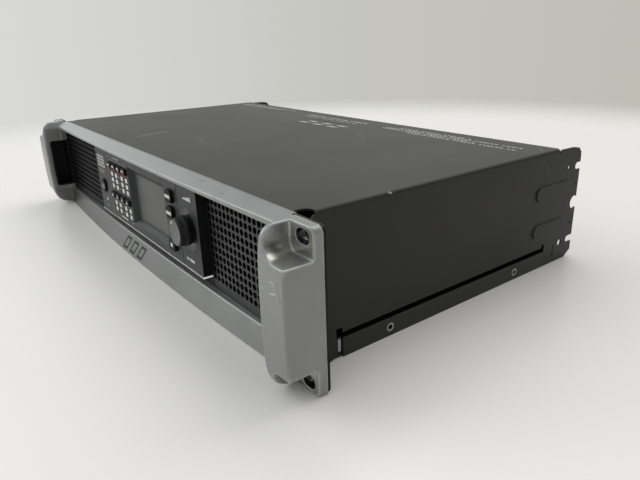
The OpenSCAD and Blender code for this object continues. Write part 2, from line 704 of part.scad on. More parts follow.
module input_sockets() color("#1a1a1b") for (x = socket_x) translate([x, 0, input_z])
  difference() {
    socket_body(input_face_y, 203, input_face_y);
    // ring groove
    difference() {
      cyl_y([0, 0], 9.6, 209, 227);
      cyl_y([0, 0], 7.6, 200, 225.2);
    }
    // three contact holes
    for (a = [90, 210, 330]) cyl_y([4.6 * cos(a), 4.6 * sin(a) - 0.4], 1.3, 208, 227);
    socket_screw_holes();
  }
module speaker_sockets() color("#23242a") for (x = socket_x) translate([x, 0, speaker_z])
  difference() {
    socket_body(speaker_face_y, 201, 226.6);
    // ring groove round a lower core
    difference() {
      cyl_y([0, 0], 10.2, 206, 228);
      cyl_y([0, 0], 5.2, 200, 224.6);
    }
    // two keyways
    for (a = [45, 225]) translate([10.2 * cos(a), 217, 10.2 * sin(a)])
      rotate([0, -a, 0]) cube([2.4, 20, 4], center = true);
    socket_screw_holes();
  }
module connector_screws() color("#a1a29f") {
  for (x = socket_x, p = socket_holes) {
    screw_y([x, input_z] + p, input_face_y, 5, 1.5, 2.4, 1.4);
    screw_y([x, speaker_z] + p, speaker_face_y, 5, 1.5, 2.4, 1.4);
  }
  for (s = signs)
    screw_y(inlet_at + [s * inlet_hole_dx, 0], inlet_face_y, 5.5, 1.5, 2.6, 1.5);
}
module port_shell(size, y0)
  box(-size[0] / 2, size[0] / 2, y0, 224.2, -size[1] / 2, size[1] / 2);
module data_ports() color("#b0b1af") {
  // upper port with a tongue
  translate([port_x, 0, upper_port_z]) {
    difference() {
      port_shell(upper_port, 210);
      box(-6.4, 6.4, 212, 226, -2.9, 2.9);
    }
    box(-5.6, 5.6, 211.9, 223.6, 0.6, 2.2);
  }
  // lower port with a notch above its opening
  translate([port_x, 0, lower_port_z]) difference() {
    port_shell(lower_port, 208);
    box(-6.2, 6.2, 210, 226, -4.6, 3.4);
    box(-3, 3, 210, 226, 3.2, 5.2);
  }
}

front_bezel();
front_plate();
left_grip_liner();
right_grip_liner();
left_grille();
right_grille();
control_fascia();
fascia_trim();
display_window();
lcd_module();
control_board();
tact_switches();
mute_button_1();
mute_button_2();
mute_button_3();
mute_button_4();
select_button_1();
select_button_2();
select_button_3();
select_button_4();
power_button();
exit_button();
enter_button();
id_button();
led_light_pipes();
encoder_body();
encoder_nut();
encoder_shaft();
encoder_knob();
knob_cap();
fascia_screws();
bezel_screws();
top_cover();
bottom_tray();
rear_panel();
side_inserts();
cover_screws();
base_screws();
main_board();
board_standoffs();
board_screws();
left_heatsink();
right_heatsink();
output_transistors();
transformer_core();
transformer_winding();
bulk_capacitors();
output_inductors();
fan_frame();
fan_rotor();
fan_guard();
fan_screws();
mains_inlet();
inlet_pins();
input_sockets();
speaker_sockets();
connector_screws();
data_ports();
ribbon_cable();
mains_wiring();
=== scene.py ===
"""Rack amplifier: cast front with two handles, grilles, control fascia, knob, cover and tray.

x runs to the right as seen from the front, y from the front to the back, z up.
x = 0 and z = 0 are the middle of the front; smaller y is nearer the viewer.
Piece lengths are millimetres; the stage, lights, camera and texture coordinates are metres.
"""
import bpy
import bmesh
import json
import math
import numpy as np
from mathutils import Matrix, Vector

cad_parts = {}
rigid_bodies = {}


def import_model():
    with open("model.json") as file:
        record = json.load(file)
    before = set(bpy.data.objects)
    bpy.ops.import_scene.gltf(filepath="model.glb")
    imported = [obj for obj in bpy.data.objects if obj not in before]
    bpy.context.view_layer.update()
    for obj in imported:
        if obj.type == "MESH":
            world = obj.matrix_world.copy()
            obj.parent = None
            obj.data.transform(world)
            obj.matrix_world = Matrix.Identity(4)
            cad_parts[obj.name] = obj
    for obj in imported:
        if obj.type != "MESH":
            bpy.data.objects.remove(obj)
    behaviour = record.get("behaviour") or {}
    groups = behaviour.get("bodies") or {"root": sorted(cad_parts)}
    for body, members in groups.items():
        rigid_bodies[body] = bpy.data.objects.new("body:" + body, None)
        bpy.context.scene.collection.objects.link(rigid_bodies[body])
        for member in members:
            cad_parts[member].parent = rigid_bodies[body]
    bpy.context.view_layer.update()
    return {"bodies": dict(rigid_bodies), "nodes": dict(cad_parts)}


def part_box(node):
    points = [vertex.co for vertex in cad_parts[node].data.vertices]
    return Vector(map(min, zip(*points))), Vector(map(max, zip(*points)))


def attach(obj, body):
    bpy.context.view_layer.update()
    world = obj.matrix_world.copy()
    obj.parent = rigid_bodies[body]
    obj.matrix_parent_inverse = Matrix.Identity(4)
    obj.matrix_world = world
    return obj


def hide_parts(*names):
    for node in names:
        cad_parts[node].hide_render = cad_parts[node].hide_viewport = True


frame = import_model()
NODES = frame["nodes"]
ROOT = "chassis" if "chassis" in frame["bodies"] else "root"
scene = bpy.context.scene

MM = 0.001
HALF_WIDTH, HALF_HEIGHT = 241.3, 44.05

# rack slots through the ears: centre, half length of the straight part, end radius
SLOT_X, SLOT_Z = 232.55, 38.1
SLOT_HALF, SLOT_RADIUS = 1.65, 3.5

FLOOR_Y = 220.0  # middle of the floor


# ---------------------------------------------------------------------------
# node helpers
# ---------------------------------------------------------------------------
def linear(colour):
    return tuple((c / 12.92) if c <= 0.04045 else ((c + 0.055) / 1.055) ** 2.4 for c in colour)


def grey(tone, tint=(0, 0, 0)):
    """Linear colour from an sRGB tone of 0 to 255, with an offset for each channel."""
    return linear(tuple(max(0, min(1, (tone + offset) / 255.0)) for offset in tint))


NEAR_BLACK = (0.002, 0.002, 0.002)


class Nodes:
    """Adds nodes to a tree. A value may be a number, a tuple or another node's output."""

    def __init__(self, tree, coords):
        self.tree = tree
        self.coords = self.wire("ShaderNodeTexCoord", {}, coords)

    def put(self, socket, value):
        if isinstance(value, bpy.types.NodeSocket):
            self.tree.links.new(value, socket)
        else:
            socket.default_value = value

    def wire(self, kind, inputs, output=0, **settings):
        """Adds a node, fills its inputs and returns the chosen output."""
        node = self.tree.nodes.new(kind)
        for key, value in settings.items():
            setattr(node, key, value)
        for key, value in inputs.items():
            self.put(node.inputs[key], value)
        return node.outputs[output]

    def math(self, operation, first, second=0.0, clamp=False):
        return self.wire("ShaderNodeMath", {0: first, 1: second},
                         operation=operation, use_clamp=clamp)

    def abs(self, value):
        return self.math("ABSOLUTE", value)

    def invert(self, value):
        return self.math("SUBTRACT", 1.0, value)

    def times(self, product, *factors, clamp=False):
        for factor in factors:
            product = self.math("MULTIPLY", product, factor, clamp)
        return product

    def vector(self, operation, *values, output="Vector", **named):
        return self.wire("ShaderNodeVectorMath", {**dict(enumerate(values)), **named},
                         output, operation=operation)

    def split(self, vector):
        """The x, y and z outputs of a vector."""
        return self.wire("ShaderNodeSeparateXYZ", {0: vector}, slice(None))

    def ramp(self, value, over=(0.35, 0.65), to=(0.0, 1.0), interpolation="LINEAR"):
        """Maps the range `over` to the range `to`."""
        return self.wire("ShaderNodeMapRange", {
            "Value": value, "From Min": over[0], "From Max": over[1],
            "To Min": to[0], "To Max": to[1]}, interpolation_type=interpolation)

    def colour_ramp(self, factor, stops):
        colour = self.wire("ShaderNodeValToRGB", {"Fac": factor})
        elements = colour.node.color_ramp.elements
        while len(elements) < len(stops):
            elements.new(0.5)
        for element, (position, stop) in zip(elements, stops):
            element.position = position
            element.color = (*stop, 1)
        return colour

    def mix_shaders(self, factor, first, second):
        return self.wire("ShaderNodeMixShader", {0: factor, 1: first, 2: second})


class Material(Nodes):
    """A material patterned in object space; `colour` is the base colour painted so far."""

    def __init__(self, name):
        self.material = bpy.data.materials.new(name)
        self.material.use_nodes = True
        super().__init__(self.material.node_tree, "Object")
        self.surface = self.tree.nodes["Principled BSDF"]
        self.colour = None

    def mapped(self, scale=(1, 1, 1), rotation=(0, 0, 0), location=(0, 0, 0)):
        return self.wire("ShaderNodeMapping", {
            "Vector": self.coords, "Scale": scale, "Rotation": rotation, "Location": location})

    def noise(self, scale, detail=3.0, roughness=0.55, coords=None, output="Fac"):
        return self.wire("ShaderNodeTexNoise", {
            "Vector": coords or self.coords, "Scale": scale, "Detail": detail,
            "Roughness": roughness}, output)

    def voronoi(self, scale, feature="F1", coords=None, output="Distance"):
        return self.wire("ShaderNodeTexVoronoi", {
            "Vector": coords or self.coords, "Scale": scale}, output, feature=feature)

    def wave(self, axis, **inputs):
        return self.wire("ShaderNodeTexWave", {"Vector": self.coords, **inputs}, "Fac",
                         wave_type="BANDS", bands_direction=axis)

    def geometry(self, output):
        return self.wire("ShaderNodeNewGeometry", {}, output)

    def world_mm(self):
        """World position in millimetres."""
        return self.vector("SCALE", self.geometry("Position"), Scale=1000.0)

    def position(self):
        return self.split(self.world_mm())

    def upward(self):
        return self.split(self.geometry("Normal"))[2]

    def rounded_normal(self, radius):
        return self.wire("ShaderNodeBevel", {"Radius": radius}, samples=4)

    def edge(self, radius):
        """0 on flats, towards 1 on edges."""
        facing = self.vector("DOT_PRODUCT", self.geometry("Normal"),
                             self.rounded_normal(radius), output="Value")
        return self.ramp(facing, over=(1.0, 0.75))

    def scratches(self, scale, amount, angle, stretch, seed):
        """Thin broken hairlines: stretched cell borders, masked by patchy noise."""
        coords = self.mapped(scale=(1.0, stretch, 1.0), rotation=(0.15 + seed, 0.35 + seed, angle),
                             location=(seed, seed * 2, 0.1))
        border = self.voronoi(scale, feature="DISTANCE_TO_EDGE", coords=coords)
        line = self.ramp(border, over=(0.0, 0.012), to=(1.0, 0.0))
        patches = self.noise(scale * 0.35, detail=2.0,
                             coords=self.mapped(location=(seed + 3.0, 1.0, 2.0)))
        return self.times(line, self.ramp(patches, over=(0.56, 0.66)), amount, clamp=True)

    def strokes(self, marks, wobble=0.25):
        """Soft-edged strokes at known places: (start, end, half width) in millimetres."""
        place = self.world_mm()
        wander = self.noise(scale=0.35, roughness=0.5, coords=place, output="Color")
        offset = self.vector("MULTIPLY_ADD", wander, (2 * wobble,) * 3, (-wobble,) * 3)
        place = self.vector("ADD", place, offset)
        total = None
        for start, end, half_width in marks:
            run = Vector(end) - Vector(start)
            from_start = self.vector("SUBTRACT", place, Vector(start))
            fraction = self.vector("DOT_PRODUCT", from_start,
                                   run / max(1e-9, run.length_squared), output="Value")
            nearest = self.vector("SCALE", run, Scale=self.math("ADD", fraction, 0.0, clamp=True))
            gap = self.vector("SUBTRACT", from_start, nearest)
            distance = self.vector("LENGTH", gap, output="Value")
            mark = self.ramp(distance, over=(half_width * 0.45, half_width), to=(1.0, 0.0))
            total = mark if total is None else self.math("MAXIMUM", total, mark)
        return total

    def mix(self, factor, first, second):
        """Blends two colours, each a linear triple or another node's output."""
        first, second = (c if isinstance(c, bpy.types.NodeSocket) else (*c, 1)
                         for c in (first, second))
        return self.wire("ShaderNodeMix", {"Factor": factor, 6: first, 7: second}, 2,
                         data_type="RGBA")

    def paint(self, colour, mask, amount=None):
        """Lays a colour over what is painted so far."""
        if amount is not None:
            mask = self.times(mask, amount)
        self.colour = self.mix(mask, self.colour, colour)

    def bump(self, height, distance, strength, rounding=0.0003):
        inputs = {"Strength": strength, "Distance": distance, "Height": height}
        if rounding:
            inputs["Normal"] = self.rounded_normal(rounding)
        self.put(self.surface.inputs["Normal"], self.wire("ShaderNodeBump", inputs))

    def finish(self, roughness, metallic=0.0, **inputs):
        inputs = {"Base Color": self.colour, "Roughness": roughness, "Metallic": metallic, **inputs}
        for key, value in inputs.items():
            self.put(self.surface.inputs[key.replace("_", " ")], value)
        return self.material


# ---------------------------------------------------------------------------
# materials
# ---------------------------------------------------------------------------
# strokes on the casting: start, end, half width
CAST_BRIGHT = [
    ((229.8, -24.2, 20.0), (231.6, -24.1, 20.4), 0.4),
    ((231.6, -24.1, 20.4), (233.4, -24.1, 19.4), 0.4),
    ((229.9, -24.3, 14.0), (234.5, -24.3, 15.3), 0.5),
    ((223.4, -24.3, 14.8), (223.5, -24.3, 14.6), 0.5),
    ((235.5, -24.3, 0.6), (235.6, -24.3, 0.7), 0.5),
    ((227.0, -24.2, -17.5), (228.2, -24.2, -19.2), 0.35),
    ((231.5, -21.6, -36.2), (236.8, -21.0, -37.4), 0.8),
    ((222.4, -20.5, -37.6), (226.5, -19.6, -39.4), 0.7),
    ((238.6, -19.9, -38.6), (240.4, -18.6, -39.6), 0.6),
    ((234.0, -6.8, -43.2), (238.5, -6.6, -43.0), 0.7),
    ((-233.0, -24.2, 9.0), (-229.0, -24.2, 7.8), 0.4)]
CAST_DARK = [
    ((236.0, -24.2, 20.9), (238.9, -24.2, 12.0), 0.32),
    ((-160.5, -8.0, 39.35), (-157.5, -7.2, 39.8), 0.7),
    ((-168.0, -5.0, 41.05), (-164.5, -4.4, 41.4), 0.4),
    ((-24.0, -6.2, 40.4), (-19.0, -5.4, 40.85), 0.45),
    ((-52.5, -9.0, 38.8), (-48.0, -8.4, 39.1), 0.6),
    ((64.0, -9.4, 38.5), (66.0, -9.2, 38.65), 0.5),
    ((118.0, -3.4, 41.95), (126.0, -2.6, 42.4), 0.35),
    ((150.0, -5.6, 40.7), (153.0, -5.0, 41.05), 0.4)]
# strokes on the cover: start, end, half width
COVER_PALE = [
    ((-59.0, 20.2, 43.8), (-68.4, 55.4, 43.8), 0.62),
    ((219.0, 59.4, 43.4), (219.3, 60.6, 42.8), 0.9)]
COVER_FAINT = [
    ((-102.3, 52.9, 43.8), (-85.9, 60.2, 43.8), 0.45),
    ((-12.6, 56.9, 43.8), (12.5, 49.7, 43.8), 0.4),
    ((12.5, 49.7, 43.8), (19.6, 56.7, 43.8), 0.4),
    ((96.0, 150.0, 43.8), (60.0, 171.0, 43.8), 0.35),
    ((-150.0, 210.0, 43.8), (-128.0, 240.0, 43.8), 0.4),
    ((218.4, 190.0, 10.0), (218.4, 214.0, 4.0), 0.4)]


def pocket_mask(mat, x, y, z):
    """1 inside the screw pockets at the handles' ends."""
    inside = mat.times(mat.ramp(y, over=(-23.2, -21.5)),
                       mat.ramp(mat.abs(x), over=(239.6, 240.3), to=(1.0, 0.0)),
                       mat.ramp(mat.abs(z), over=(42.2, 43.0), to=(1.0, 0.0)))
    return mat.times(mat.ramp(mat.abs(x), over=(221.8, 223.2)),
                     mat.ramp(mat.abs(z), over=(27.6, 29.2)), inside)


def slot_bore_mask(mat, x, z):
    """1 inside the bores of the rack slots."""
    along = mat.abs(mat.math("SUBTRACT", mat.abs(x), SLOT_X))
    along = mat.math("MAXIMUM", mat.math("SUBTRACT", along, SLOT_HALF), 0.0)
    across = mat.abs(mat.math("SUBTRACT", mat.abs(z), SLOT_Z))
    squares = mat.math("ADD", mat.math("POWER", along, 2.0), mat.math("POWER", across, 2.0))
    return mat.ramp(mat.math("SQRT", squares),
                    over=(SLOT_RADIUS + 0.1, SLOT_RADIUS + 0.25), to=(1.0, 0.0))


def cast_material():
    """Silver paint on the casting, bare and glossy in the screw pockets."""
    mat = Material("silver_casting_paint")
    x, y, z = mat.position()
    coarse = mat.noise(scale=22, detail=4)
    mat.colour = mat.mix(mat.ramp(coarse), grey(134, (0, 2, 0)), grey(144, (1, 2, 0)))
    flakes = mat.wire("ShaderNodeSeparateColor", {0: mat.voronoi(scale=5200, output="Color")})
    mat.paint(grey(176), flakes, amount=0.12)
    mottle = mat.noise(scale=16, detail=6,
                       coords=mat.mapped(scale=(0.6, 2.0, 2.0), location=(3.0, 1.0, 0.0)))
    mat.paint(grey(112, (0, 1, 0)), mat.ramp(mottle, over=(0.42, 0.7), to=(0.0, 0.22)))
    mat.paint(grey(164, (0, 1, 1)), mat.ramp(mottle, over=(0.30, 0.42), to=(0.22, 0.0)))
    mat.paint(grey(92, (0, 1, 0)), mat.ramp(mat.upward(), over=(0.35, 0.95), to=(0.0, 0.12)))

    pocket = pocket_mask(mat, x, y, z)
    patches = mat.noise(scale=55, detail=2, coords=mat.mapped(location=(2.0, 0.0, 1.0)))
    bare = mat.mix(mat.ramp(patches), grey(170, (6, 4, -8)), grey(192, (-2, 2, 6)))
    mat.paint(bare, pocket, amount=0.7)
    # painted highlight along the edges, partly rubbed paint
    mat.paint(grey(236), mat.edge(radius=0.0009), amount=0.42)

    # painted highlight: wide pale rims at the upper and lower ends of the ears
    ends = mat.times(mat.ramp(mat.abs(x), over=(219.2, 220.4)),
                     mat.ramp(mat.abs(z), over=(24.5, 26.0)),
                     mat.ramp(y, over=(-6.5, -5.0), to=(1.0, 0.35)))
    rim = mat.times(mat.ramp(mat.edge(radius=0.0015), over=(0.04, 0.5)), ends, clamp=True)
    mat.paint(grey(250), rim, amount=0.85)

    mat.paint(grey(196), mat.scratches(scale=38, amount=0.22, angle=0.5, stretch=6.0, seed=0.7))
    dirt = mat.noise(scale=60, detail=4, coords=mat.mapped(location=(1.0, 0.3, 0.0)))
    dirt = mat.ramp(dirt, over=(0.58, 0.8), to=(0.0, 0.16))
    mat.paint(grey(88), dirt)
    mat.paint(grey(224), mat.strokes(CAST_BRIGHT, wobble=0.3), amount=0.42)
    mat.paint(grey(52), mat.strokes(CAST_DARK, wobble=0.35), amount=0.7)

    # painted highlight: the top rail pales towards the left; painted shade: the lower rail darkens
    # towards the left
    mat.paint(grey(172, (-1, 0, 0)), mat.times(mat.ramp(x, over=(-222.0, 150.0), to=(0.85, 0.0)),
                                               mat.ramp(z, over=(36.0, 38.5))))
    mat.paint(grey(44), mat.times(mat.ramp(x, over=(-222.0, 150.0), to=(0.88, 0.0)),
                                  mat.ramp(z, over=(-27.5, -29.5)),
                                  mat.ramp(mat.abs(x), over=(218.0, 219.5), to=(1.0, 0.0))))
    # painted shade inside the rack-slot bores, which are also not metallic
    bore_shade = slot_bore_mask(mat, x, z)
    mat.paint(grey(26), bore_shade)

    rough = mat.ramp(coarse, over=(0.3, 0.7), to=(0.38, 0.46))
    rough = mat.math("ADD", rough, mat.times(dirt, 0.5))
    rough = mat.wire("ShaderNodeMix", {"Factor": pocket, 2: rough, 3: 0.17}, data_type="FLOAT")
    height = mat.math("ADD", mat.times(mat.noise(scale=2600, detail=2), 1.0),
                      mat.times(mat.noise(scale=420, detail=3), 1.6))
    mat.bump(height, distance=0.00004, strength=0.5, rounding=0)
    metal = mat.math("ADD", 0.42, mat.times(pocket, 0.4))
    # the painted highlight rims are less metallic
    metal = mat.math("SUBTRACT", metal, mat.times(rim, 0.4), clamp=True)
    return mat.finish(rough, mat.times(metal, mat.invert(bore_shade), clamp=True),
                      Coat_Weight=0.18, Coat_Roughness=0.2)


def shade_grille(mat, across, to):
    """Paints shade on the grille towards its outer end or edge, and behind its face."""
    x, y, z = mat.position()
    light = mat.times(mat.ramp(x, over=across, to=to),
                      mat.ramp(y, over=(-1.47, -1.42), to=(1.0, 0.04)))
    mat.colour = mat.mix(light, NEAR_BLACK, mat.colour)


def shade_tray(mat, specular):
    """Paints shade into the recess beside the tray's step, with a strip of bare plating inside it,
    and onto the tray's lip.

    Returns the specular level, which is nothing on the shaded lip."""
    x, y, z = mat.position()
    side = mat.ramp(mat.abs(x), over=(215.5, 215.8))
    # painted shade: the tray's lip is painted near black
    lip = mat.times(mat.ramp(mat.abs(x), over=(218.3, 218.5), to=(1.0, 0.0)),
                    mat.ramp(z, over=(-34.3, -34.1)), mat.ramp(y, over=(25.0, 25.2)))
    mat.paint(NEAR_BLACK, lip)

    def within(value, middle, over):
        return mat.invert(mat.ramp(mat.abs(mat.math("SUBTRACT", value, middle)), over=over))

    # painted shade: the recess beside the step is painted near black
    recess = mat.times(within(y, middle=23.75, over=(1.85, 2.1)),
                       mat.ramp(z, over=(-42.6, -42.3)))
    mat.paint(NEAR_BLACK, mat.times(side, recess))
    from_middle = mat.abs(mat.math("ADD", z, 36.9))
    plating = mat.times(within(y, middle=24.1, over=(0.9, 1.05)),
                        mat.invert(mat.ramp(from_middle, over=(3.7, 4.1))))
    mat.paint(grey(178, (0, 3, 2)), mat.times(side, plating))
    return mat.times(specular, mat.invert(lip), clamp=True)


def powder(name, tone, tint=(0, 0, 0), dust=0.12, rough=0.46, edge_tone=70, rounding=0.0005,
           specular=0.35, cover=False, grille=None, tray=False):
    """Powder-coated steel: orange-peel bump, mottling, dust, rubbed edges with a painted highlight,
    hairline scratches.

    `cover` adds painted light and shade on the cover and its strokes, `grille` holds arguments for
    shade_grille, which paints shade, and `tray` adds painted shade in the tray's recess and on its
    lip."""
    mat = Material(name)
    coarse = mat.noise(scale=9, detail=5)
    mat.colour = mat.mix(mat.ramp(coarse), grey(tone - 2, tint), grey(tone + 3, tint))
    mat.paint(grey(tone + 12, tint),
              mat.ramp(mat.noise(scale=120, detail=4), over=(0.55, 0.8), to=(0, 0.25)))
    up = mat.ramp(mat.upward(), over=(0.6, 1.0))
    dust_and_painted_light = mat.times(up, mat.ramp(mat.noise(scale=14, detail=6, roughness=0.65),
                                   over=(0.35, 0.75), to=(dust * 0.45, dust)))
    if cover:
        x, y, z = mat.position()
        # painted light on the cover's top: its pale dust is stronger to the left and weaker to the
        # right
        dust_and_painted_light = mat.times(dust_and_painted_light, mat.ramp(x, over=(-210.0, 215.0), to=(1.5, 0.4)))
        # painted shade: the cover's sides darken towards the rear
        mat.paint(grey(tone * 0.4),
                  mat.times(mat.invert(up), mat.ramp(y, over=(40.0, 250.0), to=(0.0, 0.85))))
    mat.paint(grey(150, (2, 1, -6)), dust_and_painted_light)
    # edges lightened: rubbed paint with a painted highlight
    mat.paint(grey(edge_tone, tint), mat.edge(radius=0.0007), amount=0.55)
    scratches = mat.math(
        "ADD", mat.scratches(scale=7.5, amount=0.20, angle=1.2, stretch=7.0, seed=0.2),
        mat.scratches(scale=16, amount=0.12, angle=-0.6, stretch=10.0, seed=1.3))
    mat.paint(grey(128), mat.times(scratches, mat.math("ADD", 0.25, mat.times(up, 0.75))))
    if cover:
        mat.paint(grey(176, (2, 1, -8)), mat.strokes(COVER_PALE), amount=0.8)
        mat.paint(grey(150), mat.strokes(COVER_FAINT), amount=0.42)
    if grille:
        shade_grille(mat, **grille)
    if tray:
        specular = shade_tray(mat, specular)
    roughness = mat.math("ADD", mat.ramp(coarse, over=(0.3, 0.7), to=(rough - 0.04, rough + 0.05)),
                         mat.times(dust_and_painted_light, 0.5))
    mat.bump(mat.noise(scale=1900, detail=2), distance=0.00005, strength=0.7, rounding=rounding)
    return mat.finish(roughness, Specular_IOR_Level=specular)


def plastic(name, tone, tint=(0, 0, 0), rough=0.48, grain=1700, bump=0.00006, edge_tone=None,
            coat=0.0, specular=0.5, end=None):
    """Moulded plastic with a spark-eroded grain; past the x range `end` it is painted dark as shade.
    """
    mat = Material(name)
    coarse = mat.noise(scale=30, detail=4)
    mat.colour = mat.mix(mat.ramp(coarse), grey(tone - 3, tint), grey(tone + 3, tint))
    mat.paint(grey(tone + 14, tint),
              mat.ramp(mat.noise(scale=grain * 0.8, detail=2), over=(0.55, 0.8), to=(0, 0.35)))
    if end:
        x, y, z = mat.position()
        # painted shade past the x range `end`
        mat.paint(grey(8), mat.ramp(x, over=end, to=(0.0, 0.9)))
    # painted highlight along the edges
    mat.paint(grey(edge_tone or tone + 32, tint), mat.edge(radius=0.0005), amount=0.4)
    mat.bump(mat.voronoi(grain), distance=bump, strength=0.6)
    return mat.finish(mat.ramp(coarse, over=(0.3, 0.7), to=(rough - 0.05, rough + 0.05)),
                      Coat_Weight=coat, Coat_Roughness=0.2, Specular_IOR_Level=specular)


def metal(name, tone, tint=(0, 0, 0), rough=0.32, brush=(40, 1600, 1600), metallic=1.0):
    """Plated or machined metal with fine directional marks; `brush` is their scale per axis."""
    mat = Material(name)
    brushed = mat.noise(scale=1.0, detail=2, coords=mat.mapped(scale=brush))
    patch = mat.noise(scale=70, detail=4)
    mat.colour = mat.mix(mat.ramp(brushed, over=(0.3, 0.7)),
                         grey(tone - 10, tint), grey(tone + 8, tint))
    mat.paint(grey(tone - 40, tint), mat.ramp(patch, over=(0.55, 0.8), to=(0, 0.3)))
    mat.bump(brushed, distance=0.00002, strength=0.5)
    return mat.finish(mat.ramp(patch, over=(0.3, 0.7), to=(rough - 0.05, rough + 0.10)), metallic)


def trim_material():
    """Bright moulding under the fascia, brushed along its length; its right end is a painted
    highlight, white, not metallic and glowing faintly.
    """
    mat = Material("bright_trim_strip")
    brushed = mat.noise(scale=1.0, detail=2, coords=mat.mapped(scale=(12, 2400, 2400)))
    x, y, z = mat.position()
    # painted highlight on the right end, white and not metallic
    end = mat.ramp(x, over=(120.3, 120.5))
    mat.colour = mat.mix(mat.ramp(brushed, over=(0.3, 0.7)),
                         grey(158, (0, 0, -2)), grey(176, (0, 0, -2)))
    mat.paint(grey(250), end)
    mat.bump(brushed, distance=0.00002, strength=0.4)
    # the painted highlight glows a little
    return mat.finish(roughness=0.24, metallic=mat.ramp(end, over=(0.0, 1.0), to=(1.0, 0.0)),
                      Emission_Color=(1, 1, 1, 1), Emission_Strength=mat.times(end, 0.35))


def ink(name, tone, tint=(0, 0, 0)):
    """Screen-printed ink, slightly worn and uneven."""
    mat = Material(name)
    wear = mat.noise(scale=900, detail=4)
    mat.colour = mat.mix(mat.ramp(wear, over=(0.45, 0.75), to=(0, 0.5)),
                         grey(tone, tint), grey(max(6, tone * 0.62), tint))
    mat.bump(wear, distance=0.00002, strength=0.4, rounding=0)
    return mat.finish(mat.ramp(mat.noise(scale=300, detail=2), over=(0.3, 0.7), to=(0.44, 0.56)),
                      Specular_IOR_Level=0.25)


def display_material():
    """Grey-green panel, a touch paler to its lower right, with a faint haze and dark sides."""
    mat = Material("display_glass")
    x, y, z = mat.position()
    corner = mat.times(mat.ramp(x, over=(2.0, 66.0)), mat.ramp(z, over=(26.0, -14.0), to=(0.4, 1.0)))
    mat.colour = mat.mix(corner, grey(60, (-1, 2, 0)), grey(76, (0, 1, -2)))
    haze = mat.noise(scale=1.0, detail=3,
                     coords=mat.mapped(scale=(30, 30, 9), rotation=(0, 0.7, 0)))
    mat.paint(grey(104, (0, 1, 1)), mat.ramp(haze, over=(0.45, 0.75), to=(0.0, 0.10)))
    border = mat.math("MAXIMUM", mat.ramp(x, over=(1.4, 2.2), to=(1.0, 0.0)),
                      mat.ramp(x, over=(66.0, 66.8)))
    mat.paint(grey(30), border, amount=0.5)
    rough = mat.ramp(mat.noise(scale=20, detail=2), over=(0.35, 0.7), to=(0.36, 0.42))
    return mat.finish(rough, Specular_IOR_Level=0.38)


def light_pipe_material():
    mat = Material("light_pipe_plastic")
    fine = mat.noise(scale=700, detail=3)
    mat.colour = mat.mix(mat.ramp(fine, over=(0.35, 0.7)),
                         grey(228, (0, 0, -3)), grey(200, (0, 0, -5)))
    mat.bump(fine, distance=0.00002, strength=0.3)
    return mat.finish(mat.ramp(fine, over=(0.3, 0.7), to=(0.3, 0.45)),
                      Subsurface_Weight=0.15, Subsurface_Radius=(0.001, 0.001, 0.001))


def board_material():
    """Green board with cell-shaped tracks and round pads."""
    mat = Material("circuit_board")
    tracks = mat.voronoi(scale=260, feature="DISTANCE_TO_EDGE")
    mat.colour = mat.mix(mat.ramp(tracks, over=(0.0, 0.06), to=(1, 0)),
                         grey(54, (-26, 22, -14)), grey(78, (-22, 26, -12)))
    mat.paint(grey(190, (0, -14, -70)),
              mat.ramp(mat.voronoi(scale=420), over=(0.0, 0.10), to=(1.0, 0.0)))
    mat.bump(tracks, distance=0.00004, strength=0.5, rounding=0)
    return mat.finish(mat.ramp(mat.noise(scale=90), over=(0.3, 0.7), to=(0.32, 0.45)))


def copper_material():
    mat = Material("enamelled_copper")
    turns = mat.wave("Z", Scale=260, Distortion=1.2)
    mat.colour = mat.mix(turns, grey(120, (26, -32, -84)), grey(186, (20, -40, -110)))
    mat.bump(turns, distance=0.0003, strength=0.8, rounding=0)
    return mat.finish(roughness=0.34, metallic=0.85)


def lined(name, tone, tint, axis="Z", scale=200, rough=0.4, metallic=0.0, darker=12, lighter=10,
          depth=0.00008):
    """Drawn or extruded surface with fine parallel lines."""
    mat = Material(name)
    lines = mat.wave(axis, Scale=scale, Distortion=0.6, Detail=3)
    mat.colour = mat.mix(lines, grey(tone - darker, tint), grey(tone + lighter, tint))
    mat.paint(grey(tone - 20, tint),
              mat.ramp(mat.noise(scale=40, detail=4), over=(0.5, 0.8), to=(0, 0.4)))
    mat.bump(lines, distance=depth, strength=0.6)
    return mat.finish(mat.ramp(mat.noise(scale=60), over=(0.3, 0.7),
                               to=(rough - 0.05, rough + 0.08)), metallic)


